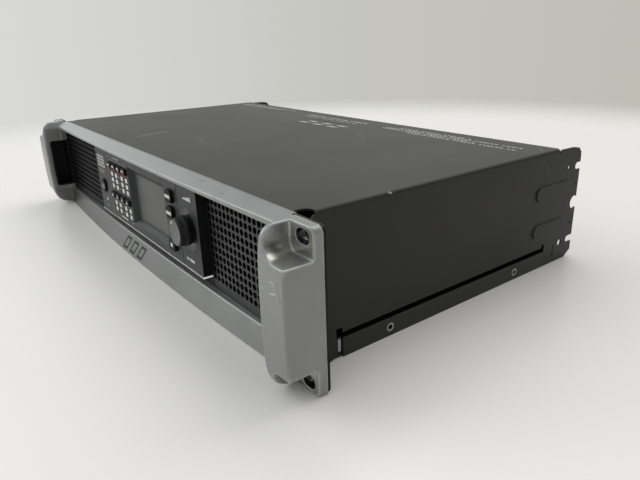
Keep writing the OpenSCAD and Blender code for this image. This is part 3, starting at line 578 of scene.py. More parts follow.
MATERIALS = {
    "cast": cast_material(),
    "black_steel": powder("black_powder_coat", tone=15, tint=(0, 0, -1), dust=0.06, edge_tone=40,
                          specular=0.2),
    "cover": powder("cover_powder_coat", tone=27, tint=(1, 1, -2), dust=0.17, rough=0.47,
                    edge_tone=100, specular=0.36, cover=True),
    "tray": powder("tray_powder_coat", tone=40, tint=(1, 2, -5), dust=0.08, rough=0.5,
                   edge_tone=88, specular=0.3, tray=True),
    "liner": plastic("liner_plastic", tone=14, tint=(0, 0, 1), rough=0.42, specular=0.3),
    # the left grille is the same steel as the right; its darker tone is painted shade
    "grille_l": powder("left_grille_coat_painted_shade", tone=19, tint=(0, 0, 1), dust=0.05, rough=0.5,
                       edge_tone=80, rounding=0.0002, specular=0.12,
                       grille=dict(across=(-217.0, -165.0), to=(0.25, 1.0))),
    "grille_r": powder("right_grille_coat", tone=49, tint=(0, 0, 1), dust=0.06, edge_tone=112,
                       rounding=0.0002, grille=dict(across=(121.0, 129.0), to=(0.12, 1.0))),
    "fascia": plastic("fascia_plastic", tone=44, tint=(0, 2, 3), rough=0.5, grain=2100,
                      bump=0.00007, edge_tone=92, specular=0.35, end=(120.35, 120.49)),
    "trim": trim_material(),
    "lcd": display_material(),
    "lcd_body": metal("display_can", tone=120, tint=(0, 1, -2), rough=0.42),
    "board": board_material(),
    "led": light_pipe_material(),
    "zinc": metal("zinc_plating", tone=172, tint=(2, 2, -6), rough=0.36),
    "rubber": plastic("knob_rubber", tone=9, rough=0.36, grain=2600, bump=0.00003, edge_tone=66,
                      coat=0.06, specular=0.34),
    "knob_face": metal("knob_face_disc", tone=98, tint=(0, 0, 1), rough=0.46,
                       brush=(1800, 60, 60), metallic=0.3),
    "dish": plastic("dish_plastic", tone=36, tint=(0, 2, 3), rough=0.33, grain=900,
                    bump=0.000005, edge_tone=70, specular=0.45),
    "screw": metal("black_screw", tone=62, rough=0.34, brush=(900, 900, 60), metallic=0.85),
    "brass": metal("brass", tone=168, tint=(16, 0, -66)),
    "alu": lined("heatsink_extrusion", tone=58, tint=(0, 0, 1), scale=420, rough=0.42,
                 metallic=0.8),
    "ferrite": plastic("ferrite_core", tone=46, tint=(0, 0, 2), rough=0.6, grain=900,
                       bump=0.00012),
    "copper": copper_material(),
    "sleeve": lined("capacitor_sleeve", tone=52, tint=(-20, -6, 24), scale=60, rough=0.35),
    "socket": plastic("socket_plastic", tone=30, tint=(-2, -1, 6), rough=0.4),
    "cable_grey": lined("ribbon_cable", tone=132, tint=(0, 1, 2), axis="X", scale=320, rough=0.5,
                        darker=26, lighter=16, depth=0.0003),
    "cable_brown": lined("wire_insulation", tone=92, tint=(16, -12, -34), scale=500),
    "button": plastic("button_plastic", tone=8, rough=0.55, grain=2600, bump=0.00003,
                      edge_tone=62, specular=0.16),
    "plastic": plastic("black_plastic", tone=26, rough=0.46),
    "ink_white": ink("white_ink", tone=236),
    "ink_grey": ink("grey_ink", tone=150),
    # pale lines at the fascia's edges; at its ends they are painted highlights
    "ink_dim": ink("pale_edge_line", tone=96),
    "ink_black": ink("black_ink", tone=9),
    "ink_red": ink("red_ink", tone=92, tint=(66, -46, -44)),
    "ink_cover": ink("cover_ink", tone=188, tint=(0, 1, -4)),
    "port": metal("port_shell", tone=150, tint=(0, 0, -2), rough=0.3),
}

# CAD nodes of each material; the others are button or black plastic
CAD_NODES = {
    "cast": "front_bezel",
    "black_steel": "front_plate rear_panel",
    "cover": "top_cover",
    "tray": "bottom_tray",
    "liner": "left_grip_liner right_grip_liner",
    "grille_l": "left_grille",
    "grille_r": "right_grille",
    "fascia": "control_fascia",
    "trim": "fascia_trim",
    "lcd": "display_window",
    "lcd_body": "lcd_module",
    "board": "control_board main_board",
    "led": "led_light_pipes",
    "zinc": "encoder_body encoder_nut encoder_shaft fascia_screws bezel_screws side_inserts "
            "board_screws fan_guard",
    "rubber": "encoder_knob",
    "knob_face": "knob_cap",
    "screw": "cover_screws base_screws fan_screws connector_screws",
    "brass": "board_standoffs inlet_pins",
    "alu": "left_heatsink right_heatsink",
    "ferrite": "transformer_core",
    "copper": "transformer_winding output_inductors",
    "sleeve": "bulk_capacitors",
    "socket": "speaker_sockets",
    "port": "data_ports",
    "cable_grey": "ribbon_cable",
    "cable_brown": "mains_wiring",
}
MATERIAL_OF = {node: key for key, nodes in CAD_NODES.items() for node in nodes.split()}
for name, node in NODES.items():
    key = MATERIAL_OF.get(name, "button" if "button" in name else "plastic")
    node.data.materials.clear()
    node.data.materials.append(MATERIALS[key])


# ---------------------------------------------------------------------------
# mesh helpers
# ---------------------------------------------------------------------------
def piece(name, verts, faces, materials, slot, body=ROOT, replaces=None, smooth=None,
          face_materials=None):
    """Makes an object that rides on a body; `smooth` is the sharp-edge angle in degrees."""
    mesh = bpy.data.meshes.new(name)
    verts = np.asarray(verts, float) * MM
    mesh.from_pydata([tuple(v) for v in verts], [], [tuple(int(i) for i in f) for f in faces])
    for key in materials:
        mesh.materials.append(MATERIALS[key])
    if face_materials is not None:
        mesh.polygons.foreach_set("material_index", np.asarray(face_materials, dtype=np.int32))
    mesh.validate()
    mesh.update()
    if smooth is not None:
        mesh.polygons.foreach_set("use_smooth", [True] * len(mesh.polygons))
        mesh.set_sharp_from_angle(angle=math.radians(smooth))
    obj = bpy.data.objects.new(name, mesh)
    scene.collection.objects.link(obj)
    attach(obj, body)
    if replaces:
        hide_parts(replaces)


def at_depth(outline, y):
    return [(x, y, z) for x, z in outline]


class Build:
    """Collects the closed shells of one piece."""

    def __init__(self):
        self.verts, self.faces, self.face_materials = [], [], []

    def add(self, verts, faces, material=0):
        first = len(self.verts)
        self.verts += [tuple(v) for v in verts]
        self.faces += [tuple(i + first for i in face) for face in faces]
        self.face_materials += [material] * len(faces)

    def prism(self, near, far, material=0, flip=False):
        """Joins two outlines, the near one anticlockwise as seen (clockwise with `flip`)."""
        n = len(near)
        faces = [tuple(range(n)), tuple(range(2 * n - 1, n - 1, -1))]
        faces += [(i + n, (i + 1) % n + n, (i + 1) % n, i) for i in range(n)]
        if flip:
            faces = [face[::-1] for face in faces]
        self.add(near + far, faces, material)

    def slab(self, outline, front, back, material=0):
        """Prism of an (x, z) outline, anticlockwise seen from the front."""
        self.prism(at_depth(outline, front), at_depth(outline, back), material)

    def make(self, name, materials, **options):
        piece(name, self.verts, self.faces, materials, face_materials=self.face_materials,
              **options)


def arc(cx, cz, radius, start, end, steps):
    """Points along an arc, its angles in degrees."""
    angles = [math.radians(start + (end - start) * i / steps) for i in range(steps + 1)]
    return [(cx + radius * math.cos(a), cz + radius * math.sin(a)) for a in angles]


def circle(cx, cz, radius, count):
    angles = [2 * math.pi * i / count for i in range(count)]
    return [(cx + radius * math.cos(a), cz + radius * math.sin(a)) for a in angles]


def rounded(x0, z0, x1, z1, radius, steps=4):
    """Rectangle with rounded corners, between two corner points."""
    left, right, low, high = x0 + radius, x1 - radius, z0 + radius, z1 - radius
    corners = ((right, low, 270), (right, high, 0), (left, high, 90), (left, low, 180))
    return [point for cx, cz, start in corners
            for point in arc(cx, cz, radius, start, start + 90, steps)]


def centred(cx, cz, width, height, radius, steps=4):
    return rounded(cx - width / 2, cz - height / 2, cx + width / 2, cz + height / 2,
                   radius, steps)


def rectangle(cx, cz, width, height):
    x0, x1, z0, z1 = cx - width / 2, cx + width / 2, cz - height / 2, cz + height / 2
    return [(x0, z0), (x1, z0), (x1, z1), (x0, z1)]


def loft(rings, closed=False, flip=False):
    """Skin over rings of equal count; an open run is capped, a closed one meets its start."""
    count = len(rings[0])
    verts = [v for ring in rings for v in ring]
    faces = []
    for k in range(len(rings) if closed else len(rings) - 1):
        here, there = k * count, (k + 1) % len(rings) * count
        for i in range(count):
            j = (i + 1) % count
            face = (here + i, here + j, there + j, there + i)
            faces.append(face[:1] + face[:0:-1] if flip else face)
    if not closed:
        faces.append(tuple(range(len(verts) - count, len(verts))))
        faces.append(tuple(range(count - 1, -1, -1)))
    return verts, faces


def perforated(outline, holes, front, back):
    """Closed plate from an (x, z) outline with holes."""
    bm = bmesh.new()
    for loop in [outline] + holes:
        loop = [bm.verts.new(point) for point in at_depth(loop, front)]
        for i in range(len(loop)):
            bm.edges.new((loop[i], loop[(i + 1) % len(loop)]))
    bmesh.ops.triangle_fill(bm, edges=bm.edges[:], use_beauty=True, use_dissolve=False,
                            normal=(0, -1, 0))
    verts = [tuple(v.co) for v in bm.verts]
    index = {v: i for i, v in enumerate(bm.verts)}
    faces = []
    for face in bm.faces:
        corners = tuple(index[v] for v in face.verts)
        faces.append(corners[::-1] if face.normal.y > 0 else corners)
    bm.free()
    n = len(verts)
    edges = dict.fromkeys((face[i], face[(i + 1) % len(face)])
                          for face in faces for i in range(len(face)))
    faces += [tuple(i + n for i in face[::-1]) for face in faces]
    faces += [(a, a + n, b + n, b) for a, b in edges if (b, a) not in edges]
    return verts + [(x, back, z) for x, y, z in verts], faces


def centre(node):
    """(x, z) of the middle of a CAD node."""
    low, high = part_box(node)
    return (low.x + high.x) / 2 / MM, (low.z + high.z) / 2 / MM


# ---------------------------------------------------------------------------
# signed distances and surface nets, for the casting
# ---------------------------------------------------------------------------
def intersect(first, second, radius):
    """Intersection of two distances with a rounded edge."""
    return (np.minimum(-radius, np.maximum(first, second))
            + np.hypot(np.maximum(radius + first, 0), np.maximum(radius + second, 0)))


def unite(first, second, radius):
    """Union of two distances with a filleted corner."""
    return (np.maximum(radius, np.minimum(first, second))
            - np.hypot(np.maximum(radius - first, 0), np.maximum(radius - second, 0)))


def polygon_distance(px, py, points):
    nearest = np.full(np.broadcast(px, py).shape, 1e18)
    sign = np.ones_like(nearest)
    for i in range(len(points)):
        ax, ay = points[i]
        bx, by = points[i - 1]
        ex, ey = bx - ax, by - ay
        wx, wy = px - ax, py - ay
        t = np.clip((wx * ex + wy * ey) / (ex * ex + ey * ey), 0, 1)
        qx, qy = wx - ex * t, wy - ey * t
        nearest = np.minimum(nearest, qx * qx + qy * qy)
        above, below, left = py >= ay, py < by, ex * wy > ey * wx
        crossing = (above & below & left) | (~above & ~below & ~left)
        sign = np.where(crossing, -sign, sign)
    return sign * np.sqrt(nearest)


def cell_vertices(field, axes, cells):
    """For each cell, the mean of the points where its edges cross the surface."""
    I, J, K = cells.T
    X, Y, Z = axes
    total = np.zeros((len(cells), 3))
    crossings = np.zeros(len(cells))
    for corner in [(i, j, k) for i in (0, 1) for j in (0, 1) for k in (0, 1)]:
        for axis in range(3):
            if corner[axis]:
                continue
            other = list(corner)
            other[axis] = 1
            ends = []
            for i, j, k in (corner, other):
                ends.append((field[I + i, J + j, K + k],
                             np.stack([X[I + i], Y[J + j], Z[K + k]], 1)))
            (value_a, point_a), (value_b, point_b) = ends
            crossed = (value_a < 0) != (value_b < 0)
            t = np.where(crossed, value_a / np.where(crossed, value_a - value_b, 1), 0)
            total += np.where(crossed[:, None], point_a + (point_b - point_a) * t[:, None], 0)
            crossings += crossed
    return total / crossings[:, None]


def cell_quads(inside, index):
    """One quad round each grid edge that crosses the surface, joining its four cells."""
    quads = []
    for axis in range(3):
        lower, upper = [slice(None)] * 3, [slice(None)] * 3
        lower[axis], upper[axis] = slice(0, -1), slice(1, None)
        start = inside[tuple(lower)]
        edges = np.argwhere(start != inside[tuple(upper)])
        u, v = [(1, 2), (2, 0), (0, 1)][axis]
        edges = edges[(edges[:, u] > 0) & (edges[:, v] > 0)
                      & (edges[:, u] < inside.shape[u] - 1) & (edges[:, v] < inside.shape[v] - 1)]
        leaving = start[tuple(edges.T)]
        du, dv = np.zeros(3, int), np.zeros(3, int)
        du[u], dv[v] = 1, 1
        quad = np.stack([index[tuple(cell.T)]
                         for cell in (edges - du - dv, edges - dv, edges, edges - du)], 1)
        quad[~leaving] = quad[~leaving][:, ::-1]
        quads.append(quad)
    return np.concatenate(quads)


def pull_to_surface(distance, verts, rounds=3, probe=0.04, longest=0.3):
    """Newton steps onto the exact surface, each no longer than `longest`."""
    def at(points):
        return distance(points[:, 0], points[:, 1], points[:, 2])

    for _ in range(rounds):
        gradient = np.stack([(at(verts + probe * axis) - at(verts - probe * axis)) / (2 * probe)
                             for axis in np.eye(3)], 1)
        steepness = np.maximum((gradient * gradient).sum(1), 0.2)
        step = -(at(verts) / steepness)[:, None] * gradient
        length = np.linalg.norm(step, axis=1)
        step *= np.minimum(1, longest / np.maximum(length, 1e-9))[:, None]
        verts = verts + step
    return verts


def surface_nets(distance, X, Y, Z):
    """Mesh of distance < 0 on a rectilinear grid over x >= 0, mirrored to both sides."""
    field = distance(X[:, None, None], Y[None, :, None], Z[None, None, :])
    field = np.concatenate([field[:0:-1], field], axis=0)
    X = np.concatenate([-X[:0:-1], X])
    inside = field < 0
    count = np.zeros((len(X) - 1, len(Y) - 1, len(Z) - 1), np.int8)
    nx, ny, nz = count.shape
    for i in (0, 1):
        for j in (0, 1):
            for k in (0, 1):
                count += inside[i:i + nx, j:j + ny, k:k + nz]
    active = (count > 0) & (count < 8)
    cells = np.argwhere(active)
    index = -np.ones(count.shape, np.int64)
    index[active] = np.arange(len(cells))
    verts = cell_vertices(field, (X, Y, Z), cells)
    return pull_to_surface(distance, verts), cell_quads(inside, index)


# ---------------------------------------------------------------------------
# casting: two ears with handles, joined by a top and a lower rail
# ---------------------------------------------------------------------------
EAR_INNER = 219.0      # inner wall of the ears
EAR_FRONT = -7.0       # front of the flange behind the handles
MOUNT_FACE = -1.5      # back of the ears
LIP_BACK, LIP_Z = 1.0, 42.5   # lips above and below the plate: back, inner height
RAIL_HALF_SPAN = 219.2
LOWER_RAIL_Z, LOWER_RAIL_DROP = -29.2, 14.0   # where its front slope starts, and its height
HANDLE_FRONT = -24.3
HANDLE_BEND = 9

# side profile of the handle: (y, z), from the bottom up; the bend at the top is an arc
HANDLE = [
    (7.0, -HALF_HEIGHT), (-6.5, -HALF_HEIGHT), (-9, -43.8), (-13, -42.9), (-16.5, -41.4),
    (-19.3, -39.2), (-21.4, -36), (-22.7, -32.5), (-23.5, -28), (-24.0, -20), (-24.25, -10),
    (HANDLE_FRONT, 0), (-24.25, 12), (-24.0, 22), (-23.6, 30), (-23.1, 34.4),
] + arc(-14, HALF_HEIGHT - HANDLE_BEND, HANDLE_BEND, 90, 160, 12)[::-1] + [(7.0, HALF_HEIGHT)]


def lower_rail_edges(x):
    """y of the top and bottom of the lower rail's front slope."""
    bow = (np.abs(x) / RAIL_HALF_SPAN) ** 2
    return -7.3 + 3.6 * bow, -13.4 + 7.0 * bow


def lower_rail_y(x, z):
    """Front face of the lower rail."""
    top, bottom = lower_rail_edges(x)
    return top + (bottom - top) * ((LOWER_RAIL_Z - z) / LOWER_RAIL_DROP)


def ear_distance(x, y, z):
    """Flange and handle; x is not negative."""
    outline = intersect(x - HALF_WIDTH, np.abs(z) - HALF_HEIGHT, 4.0)
    flange = intersect(intersect(outline, EAR_FRONT - y, 1.1),
                       np.maximum(y - MOUNT_FACE, EAR_INNER - x), 0.3)
    profile = polygon_distance(y + 0 * z, z + 0 * y, HANDLE)
    handle = intersect(profile, np.maximum(x - (HALF_WIDTH - 0.15), outline), 1.1)
    return unite(flange, intersect(handle, EAR_INNER - x, 1.9), 0.8)


def rail_distance(x, y, z):
    """Both rails, open at the back except for their lips."""
    bow = (x / RAIL_HALF_SPAN) ** 2
    slope = ((y - 0.2) * -5.85 + (z - HALF_HEIGHT) * 10.2) / 11.758
    top = intersect(intersect(slope, (-10.0 + 2.0 * bow) - y, 0.7), z - HALF_HEIGHT, 0.5)
    top = intersect(top, 36.2 - z, 0.9)
    top = np.maximum(top, np.maximum(y - LIP_BACK, np.minimum(y - MOUNT_FACE, LIP_Z - z)))
    edge_top, edge_bottom = lower_rail_edges(x)
    front = (lower_rail_y(x, z) - y) * (
        LOWER_RAIL_DROP / np.hypot(LOWER_RAIL_DROP, edge_top - edge_bottom))
    low = intersect(intersect(front, z + 28.5, 1.1), -HALF_HEIGHT - z, 0.9)
    low = np.maximum(low, np.maximum(y - LIP_BACK, np.minimum(y - MOUNT_FACE, z + LIP_Z)))
    return np.maximum(np.minimum(top, low), x - 222.0)


def bezel_distance(x, y, z):
    x, height = np.abs(x), np.abs(z)
    body = unite(rail_distance(x, y, z), ear_distance(x, y, z), 0.9)
    # nothing behind the mounting face except the two lips between the ears
    body = np.maximum(body, np.minimum(x - 216.8, y - MOUNT_FACE))
    body = np.maximum(body, np.minimum(y - MOUNT_FACE, LIP_Z - height))
    body = np.maximum(body, y - LIP_BACK)
    body = np.maximum(body, height - HALF_HEIGHT)
    # screw pockets at the handle's ends, their corner radius growing towards the front
    corner = np.clip(5.0 + (EAR_FRONT - y) * 0.38, 5.0, 11.5)
    pocket = intersect(intersect(222.6 - x, 28.4 - height, corner), y - EAR_FRONT, 0.9)
    body = intersect(body, -pocket, 0.75)
    # finger opening through the inner wall
    opening = intersect(-19.0 - y, np.maximum(-24.5 - z, z - 24.0), 3.0)
    opening = intersect(opening, x - 237.5, 0.4)
    body = intersect(body, -opening, 0.6)
    slot = np.hypot(np.maximum(np.abs(x - SLOT_X) - SLOT_HALF, 0), height - SLOT_Z) - SLOT_RADIUS
    return intersect(body, -slot, 0.5)


def make_bezel():
    # the grid is coarse along the rails and fine at the ears
    grid_x = np.concatenate([np.arange(0, 204, 4.0), np.arange(204, 216, 1.5),
                             np.arange(216, 242.7, 0.58)])
    verts, quads = surface_nets(bezel_distance, grid_x, np.arange(-25.6, 2.4, 0.55),
                                np.arange(-45.45, 45.6, 0.55))
    verts = np.clip(verts, (-HALF_WIDTH, HANDLE_FRONT, -HALF_HEIGHT),
                    (HALF_WIDTH, np.inf, HALF_HEIGHT))
    piece("cast_bezel", verts, quads, ["cast"], slot="silver_casting", replaces="front_bezel",
          smooth=50)


make_bezel()


# ---------------------------------------------------------------------------
# grilles: pressed pans with round holes
# ---------------------------------------------------------------------------
HOLE_PITCH, HOLE_RADIUS = 5.03, 2.08
HOLE_Z = 0.1                      # height of the row nearest the middle
PAN_BOTTOM, PAN_TOP = -28.3, 36
PAN_RIM = 0.9                     # from the pan's outline to its perforated face
GRILLE_FACE = -1.5
# rings of the pan's wall: inset, y, corner radius
PAN_WALL = [(0.3, GRILLE_FACE, 0.6), (0.0, -1.2, 0.9), (0.0, 3.6, 0.9), (1.0, 3.6, 0.3),
            (1.0, GRILLE_FACE, 0.3)]


def round_hole(cx, cz):
    angles = [-k * math.pi / 8 for k in range(16)]
    return [(cx + HOLE_RADIUS * math.cos(a), cz + HOLE_RADIUS * math.sin(a)) for a in angles]


def cut_hole(cx, cz):
    """Lower part of a hole, cut short below its middle by the pan's rim."""
    start = math.asin(0.5 / HOLE_RADIUS)
    angles = [start + (math.pi - 2 * start) * k / 8 for k in range(9)]
    return [(cx - HOLE_RADIUS * math.cos(a), cz - HOLE_RADIUS * math.sin(a))
            for a in angles][::-1]


def make_grille(side, material, first_x):
    node = side + "_grille"
    low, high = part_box(node)
    x0, x1 = low.x / MM, high.x / MM
    holes = []
    for i in range(int((x1 - first_x - 4.2) // HOLE_PITCH) + 1):
        cx = first_x + i * HOLE_PITCH
        holes += [round_hole(cx, HOLE_Z + j * HOLE_PITCH) for j in range(-4, 7)]
        holes.append(cut_hole(cx, HOLE_Z + 7 * HOLE_PITCH))
    left, right = x0 + PAN_RIM, x1 - PAN_RIM
    bottom, top = PAN_BOTTOM + PAN_RIM, PAN_TOP - PAN_RIM
    face = [(left, bottom), (right, bottom), (right, top), (left, top)]
    build = Build()
    build.add(*perforated(face, holes, GRILLE_FACE, -0.5))
    rings = [at_depth(rounded(x0 + inset, PAN_BOTTOM + inset, x1 - inset, PAN_TOP - inset,
                              radius, 3), y) for inset, y, radius in PAN_WALL]
    build.add(*loft(rings, closed=True, flip=True))
    build.make(node + "_mesh", [material], slot="grille_steel", replaces=node, smooth=40)


make_grille("left", "grille_l", first_x=-213.2)
make_grille("right", "grille_r", first_x=123.9)


# ---------------------------------------------------------------------------
# encoder: fluted rubber grip, face disc, and the dish round them
# ---------------------------------------------------------------------------
KNOB_X, KNOB_Z = centre("encoder_knob")
knob_low, knob_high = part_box("encoder_knob")
KNOB_R = (knob_high.x - knob_low.x) / 2 / MM
FLUTES = 36

# rings of the grip, from the back round the outside to the front and back inside:
# y, radius, depth of flutes
GRIP = [
    (-8.5, 7.45, 0.0), (-8.5, KNOB_R - 0.9, 0.0), (-8.65, KNOB_R - 0.5, 0.0),
    (-9.1, KNOB_R - 0.15, 0.0), (-10.0, KNOB_R, 0.0), (-11.2, KNOB_R - 0.03, 0.0),
    (-12.2, KNOB_R - 0.1, 0.0), (-12.7, KNOB_R - 0.17, 0.12), (-13.3, KNOB_R - 0.26, 0.5),
    (-14.4, KNOB_R - 0.45, 0.62), (-15.3, KNOB_R - 0.68, 0.6), (-15.9, KNOB_R - 0.92, 0.42),
    (-16.3, KNOB_R - 1.14, 0.18), (-16.55, KNOB_R - 1.38, 0.0), (-16.6, KNOB_R - 1.6, 0.0),
    (-16.6, 3.4, 0.0), (-15.2, 3.06, 0.0), (-11.6, 3.06, 0.0), (-11.6, 7.4, 0.0)]
# rings of the face disc, from back to front: y, radius
FACE_DISC = [(-16.62, KNOB_R - 1.75), (-17.1, KNOB_R - 1.45), (-17.34, KNOB_R - 1.55),
             (-17.4, KNOB_R - 1.9), (-17.3, KNOB_R - 3.0), (-17.26, 4.0)]
# rings of the dish, from its rim inwards: radius, y
DISH = [(14.45, -7.22), (14.45, -8.0), (14.35, -8.12), (14.15, -8.16), (13.95, -8.1),
        (13.8, -7.95), (13.3, -7.72), (12.9, -7.66), (12.7, -7.78), (12.5, -7.66), (12.0, -7.52),
        (11.6, -7.48), (11.45, -7.6), (11.3, -7.46), (8.6, -7.40), (8.6, -7.22)]


def make_grip():
    count = 288
    angles = np.arange(count) * 2 * math.pi / count
    wave = 0.5 + 0.5 * np.cos(FLUTES * angles)
    rings = []
    for y, outer, depth in GRIP:
        radii = outer - depth * (1 - wave) ** 0.8
        rings.append([(KNOB_X + radius * math.cos(a), y, KNOB_Z + radius * math.sin(a))
                      for radius, a in zip(radii, angles)])
    piece("knob_grip", *loft(rings, closed=True), ["rubber"], body="encoder",
          slot="knob_rubber", replaces="encoder_knob", smooth=38)


def make_face():
    build = Build()
    build.add(*loft([at_depth(circle(KNOB_X, KNOB_Z, radius, 72), y) for y, radius in FACE_DISC]))
    # white index dot near the rim, at the upper left
    build.slab(circle(KNOB_X - 3.6, KNOB_Z + 6.0, 0.85, 20), -17.44, -17.2, 1)
    build.make("knob_face", ["knob_face", "ink_white"], body="encoder", slot="knob_face",
               replaces="knob_cap", smooth=30)


def make_dish():
    rings = [at_depth(circle(KNOB_X, KNOB_Z, radius, 120), y) for radius, y in DISH]
    piece("encoder_dish", *loft(rings, closed=True, flip=True), ["dish"], slot="black_paint",
          smooth=30)


make_grip()
make_face()
make_dish()


# ---------------------------------------------------------------------------
# buttons: crowned caps with printed marks
# ---------------------------------------------------------------------------
MUTE_X = [centre("mute_button_%d" % k)[0] for k in (1, 2, 3, 4)]
MUTE_Z, SELECT_Z = centre("mute_button_1")[1], centre("select_button_1")[1]
POWER_X, POWER_Z = centre("power_button")
KEY_WIDTH, KEY_HEIGHT = 9, 4.8
CAP_BACK = -5.3


class Cap(Build):
    """Button cap with a rolled edge and a slight crown, its skirt and its stem."""

    def __init__(self, node, cx, cz, width, height, radius, face):
        super().__init__()
        self.node, self.face = node, face
        # y, inset from the outline
        levels = [(CAP_BACK, 0.0), (face + 0.55, 0.0), (face + 0.275, 0.06), (face + 0.11, 0.2),
                  (face + 0.03, 0.45), (face, 0.8), (face, 1.4)]
        self.add(*loft([at_depth(centred(cx, cz, width - 2 * inset, height - 2 * inset,
                                         max(0.12, radius - inset), 5), y)
                        for y, inset in levels]))
        self.slab(centred(cx, cz, width + 1.4, height + 1.4, radius), -5.9, -5.2)
        self.slab(circle(cx, cz, 1.6, 24), CAP_BACK, 0.0)

    def mark(self, outline, material=1):
        self.slab(outline, self.face - 0.05, self.face + 0.05, material)

    def finish(self, *inks):
        self.make(self.node + "_cap", ["button", *inks], body=self.node, slot="button_plastic",
                  replaces=self.node, smooth=35)


def make_channel_buttons(number, x):
    """A mute button with two bars, and a select button with a triangle."""
    cap = Cap("mute_button_%d" % number, x, MUTE_Z, KEY_WIDTH, KEY_HEIGHT, 0.8, -10.2)
    cap.mark(rounded(x - 2.9, MUTE_Z - 0.2, x + 1.2, MUTE_Z + 1.1, 0.4, 2))
    cap.mark(rounded(x - 0.2, MUTE_Z - 1.5, x + 2.9, MUTE_Z - 0.5, 0.3, 2), 2)
    cap.finish("ink_white", "ink_red")
    cap = Cap("select_button_%d" % number, x, SELECT_Z, KEY_WIDTH, KEY_HEIGHT, 0.8, -10.2)
    cap.mark([(x - 1.9, SELECT_Z - 1.1), (x + 1.3, SELECT_Z - 1.1), (x - 0.3, SELECT_Z + 1.3)])
    cap.finish("ink_white")


def make_menu_button(node):
    """A square mark on the id button, four bars on the others."""
    x, z = centre(node)
    cap = Cap(node, x, z, 10.6, 8.8, 2.8, -10.4)
    if node == "id_button":
        cap.mark(centred(x, z, 3.0, 3.0, 0.5, 2))
    else:
        for k in (-1.5, -0.5, 0.5, 1.5):
            cap.mark(centred(x + k * 2.0, z, 1.6, 2.4, 0.3, 2))
    cap.finish("ink_white")


def make_power_button():
    """An open ring with a red bar in its gap."""
    cap = Cap("power_button", POWER_X, POWER_Z, 8.8, 12, 4.35, -9.8)
    outer, inner = (arc(POWER_X, POWER_Z - 0.3, radius, 125, 415, 20) for radius in (2.3, 1.6))
    for k in range(20):
        cap.mark([outer[k], outer[k + 1], inner[k + 1], inner[k]])
    cap.mark(rounded(POWER_X - 0.4, POWER_Z + 0.2, POWER_X + 0.4, POWER_Z + 3.1, 0.2, 1), 2)
    cap.finish("ink_white", "ink_red")


for number, x in enumerate(MUTE_X, 1):
    make_channel_buttons(number, x)
for node in ("exit_button", "enter_button", "id_button"):
    make_menu_button(node)
make_power_button()


# ---------------------------------------------------------------------------
# printed marks on the fascia: plain bars, dots and ticks
# ---------------------------------------------------------------------------
FASCIA_Y = -8.0
LABEL_X = (-52.2, -5.9)
LED_X = [-46.8, -36.2, -22.0, -11.4]
UPPER_LED_Z, LOWER_LED_Z = [17.8, 12.7, 7.6], [-7.5, -12.6]
KEY_HOLE = (KEY_WIDTH + 0.5, KEY_HEIGHT + 0.5)


def make_label(name, z0, z1, key_z, led_rows, square_z):
    """Black panel cut out round the keys and lights; its rightmost key hole is square."""
    cuts = [centred(x, key_z, *KEY_HOLE, 1.0, 3) for x in MUTE_X if x < -11]
    cuts += [rectangle(x, z, 5.3, 3.7) for x in LED_X for z in led_rows]
    cuts.append(rectangle(-10.8, square_z, *KEY_HOLE))
    x0, x1 = LABEL_X
    verts, faces = perforated([(x0, z0), (x1, z0), (x1, z1), (x0, z1)],
                              [cut[::-1] for cut in cuts], FASCIA_Y - 0.05, FASCIA_Y + 0.02)
    piece(name, verts, faces, ["ink_black"], slot="black_paint")


make_label("upper_black_label", 5.4, 28.6, MUTE_Z, UPPER_LED_Z, 25.4)
make_label("lower_black_label", -15.2, 3.6, SELECT_Z, LOWER_LED_Z, 0.2)

FASCIA_INKS = ["ink_white", "ink_grey", "ink_red", "ink_black", "ink_dim"]
WHITE, GREY, RED, BLACK, DIM = range(5)


class Markings(Build):
    def bar(self, cx, cz, width, height, ink_index=WHITE, lift=0.0):
        """Bar with rounded ends, raised a further `lift` from the fascia."""
        y = FASCIA_Y - lift
        self.slab(centred(cx, cz, width, height, min(width, height) * 0.25, 2),
                  y - 0.09, y + 0.02, ink_index)

    def row(self, first_x, pitch, count, cz, width, height, ink_index=WHITE, lift=0.0):
        for k in range(count):
            self.bar(first_x + k * pitch, cz, width, height, ink_index, lift)


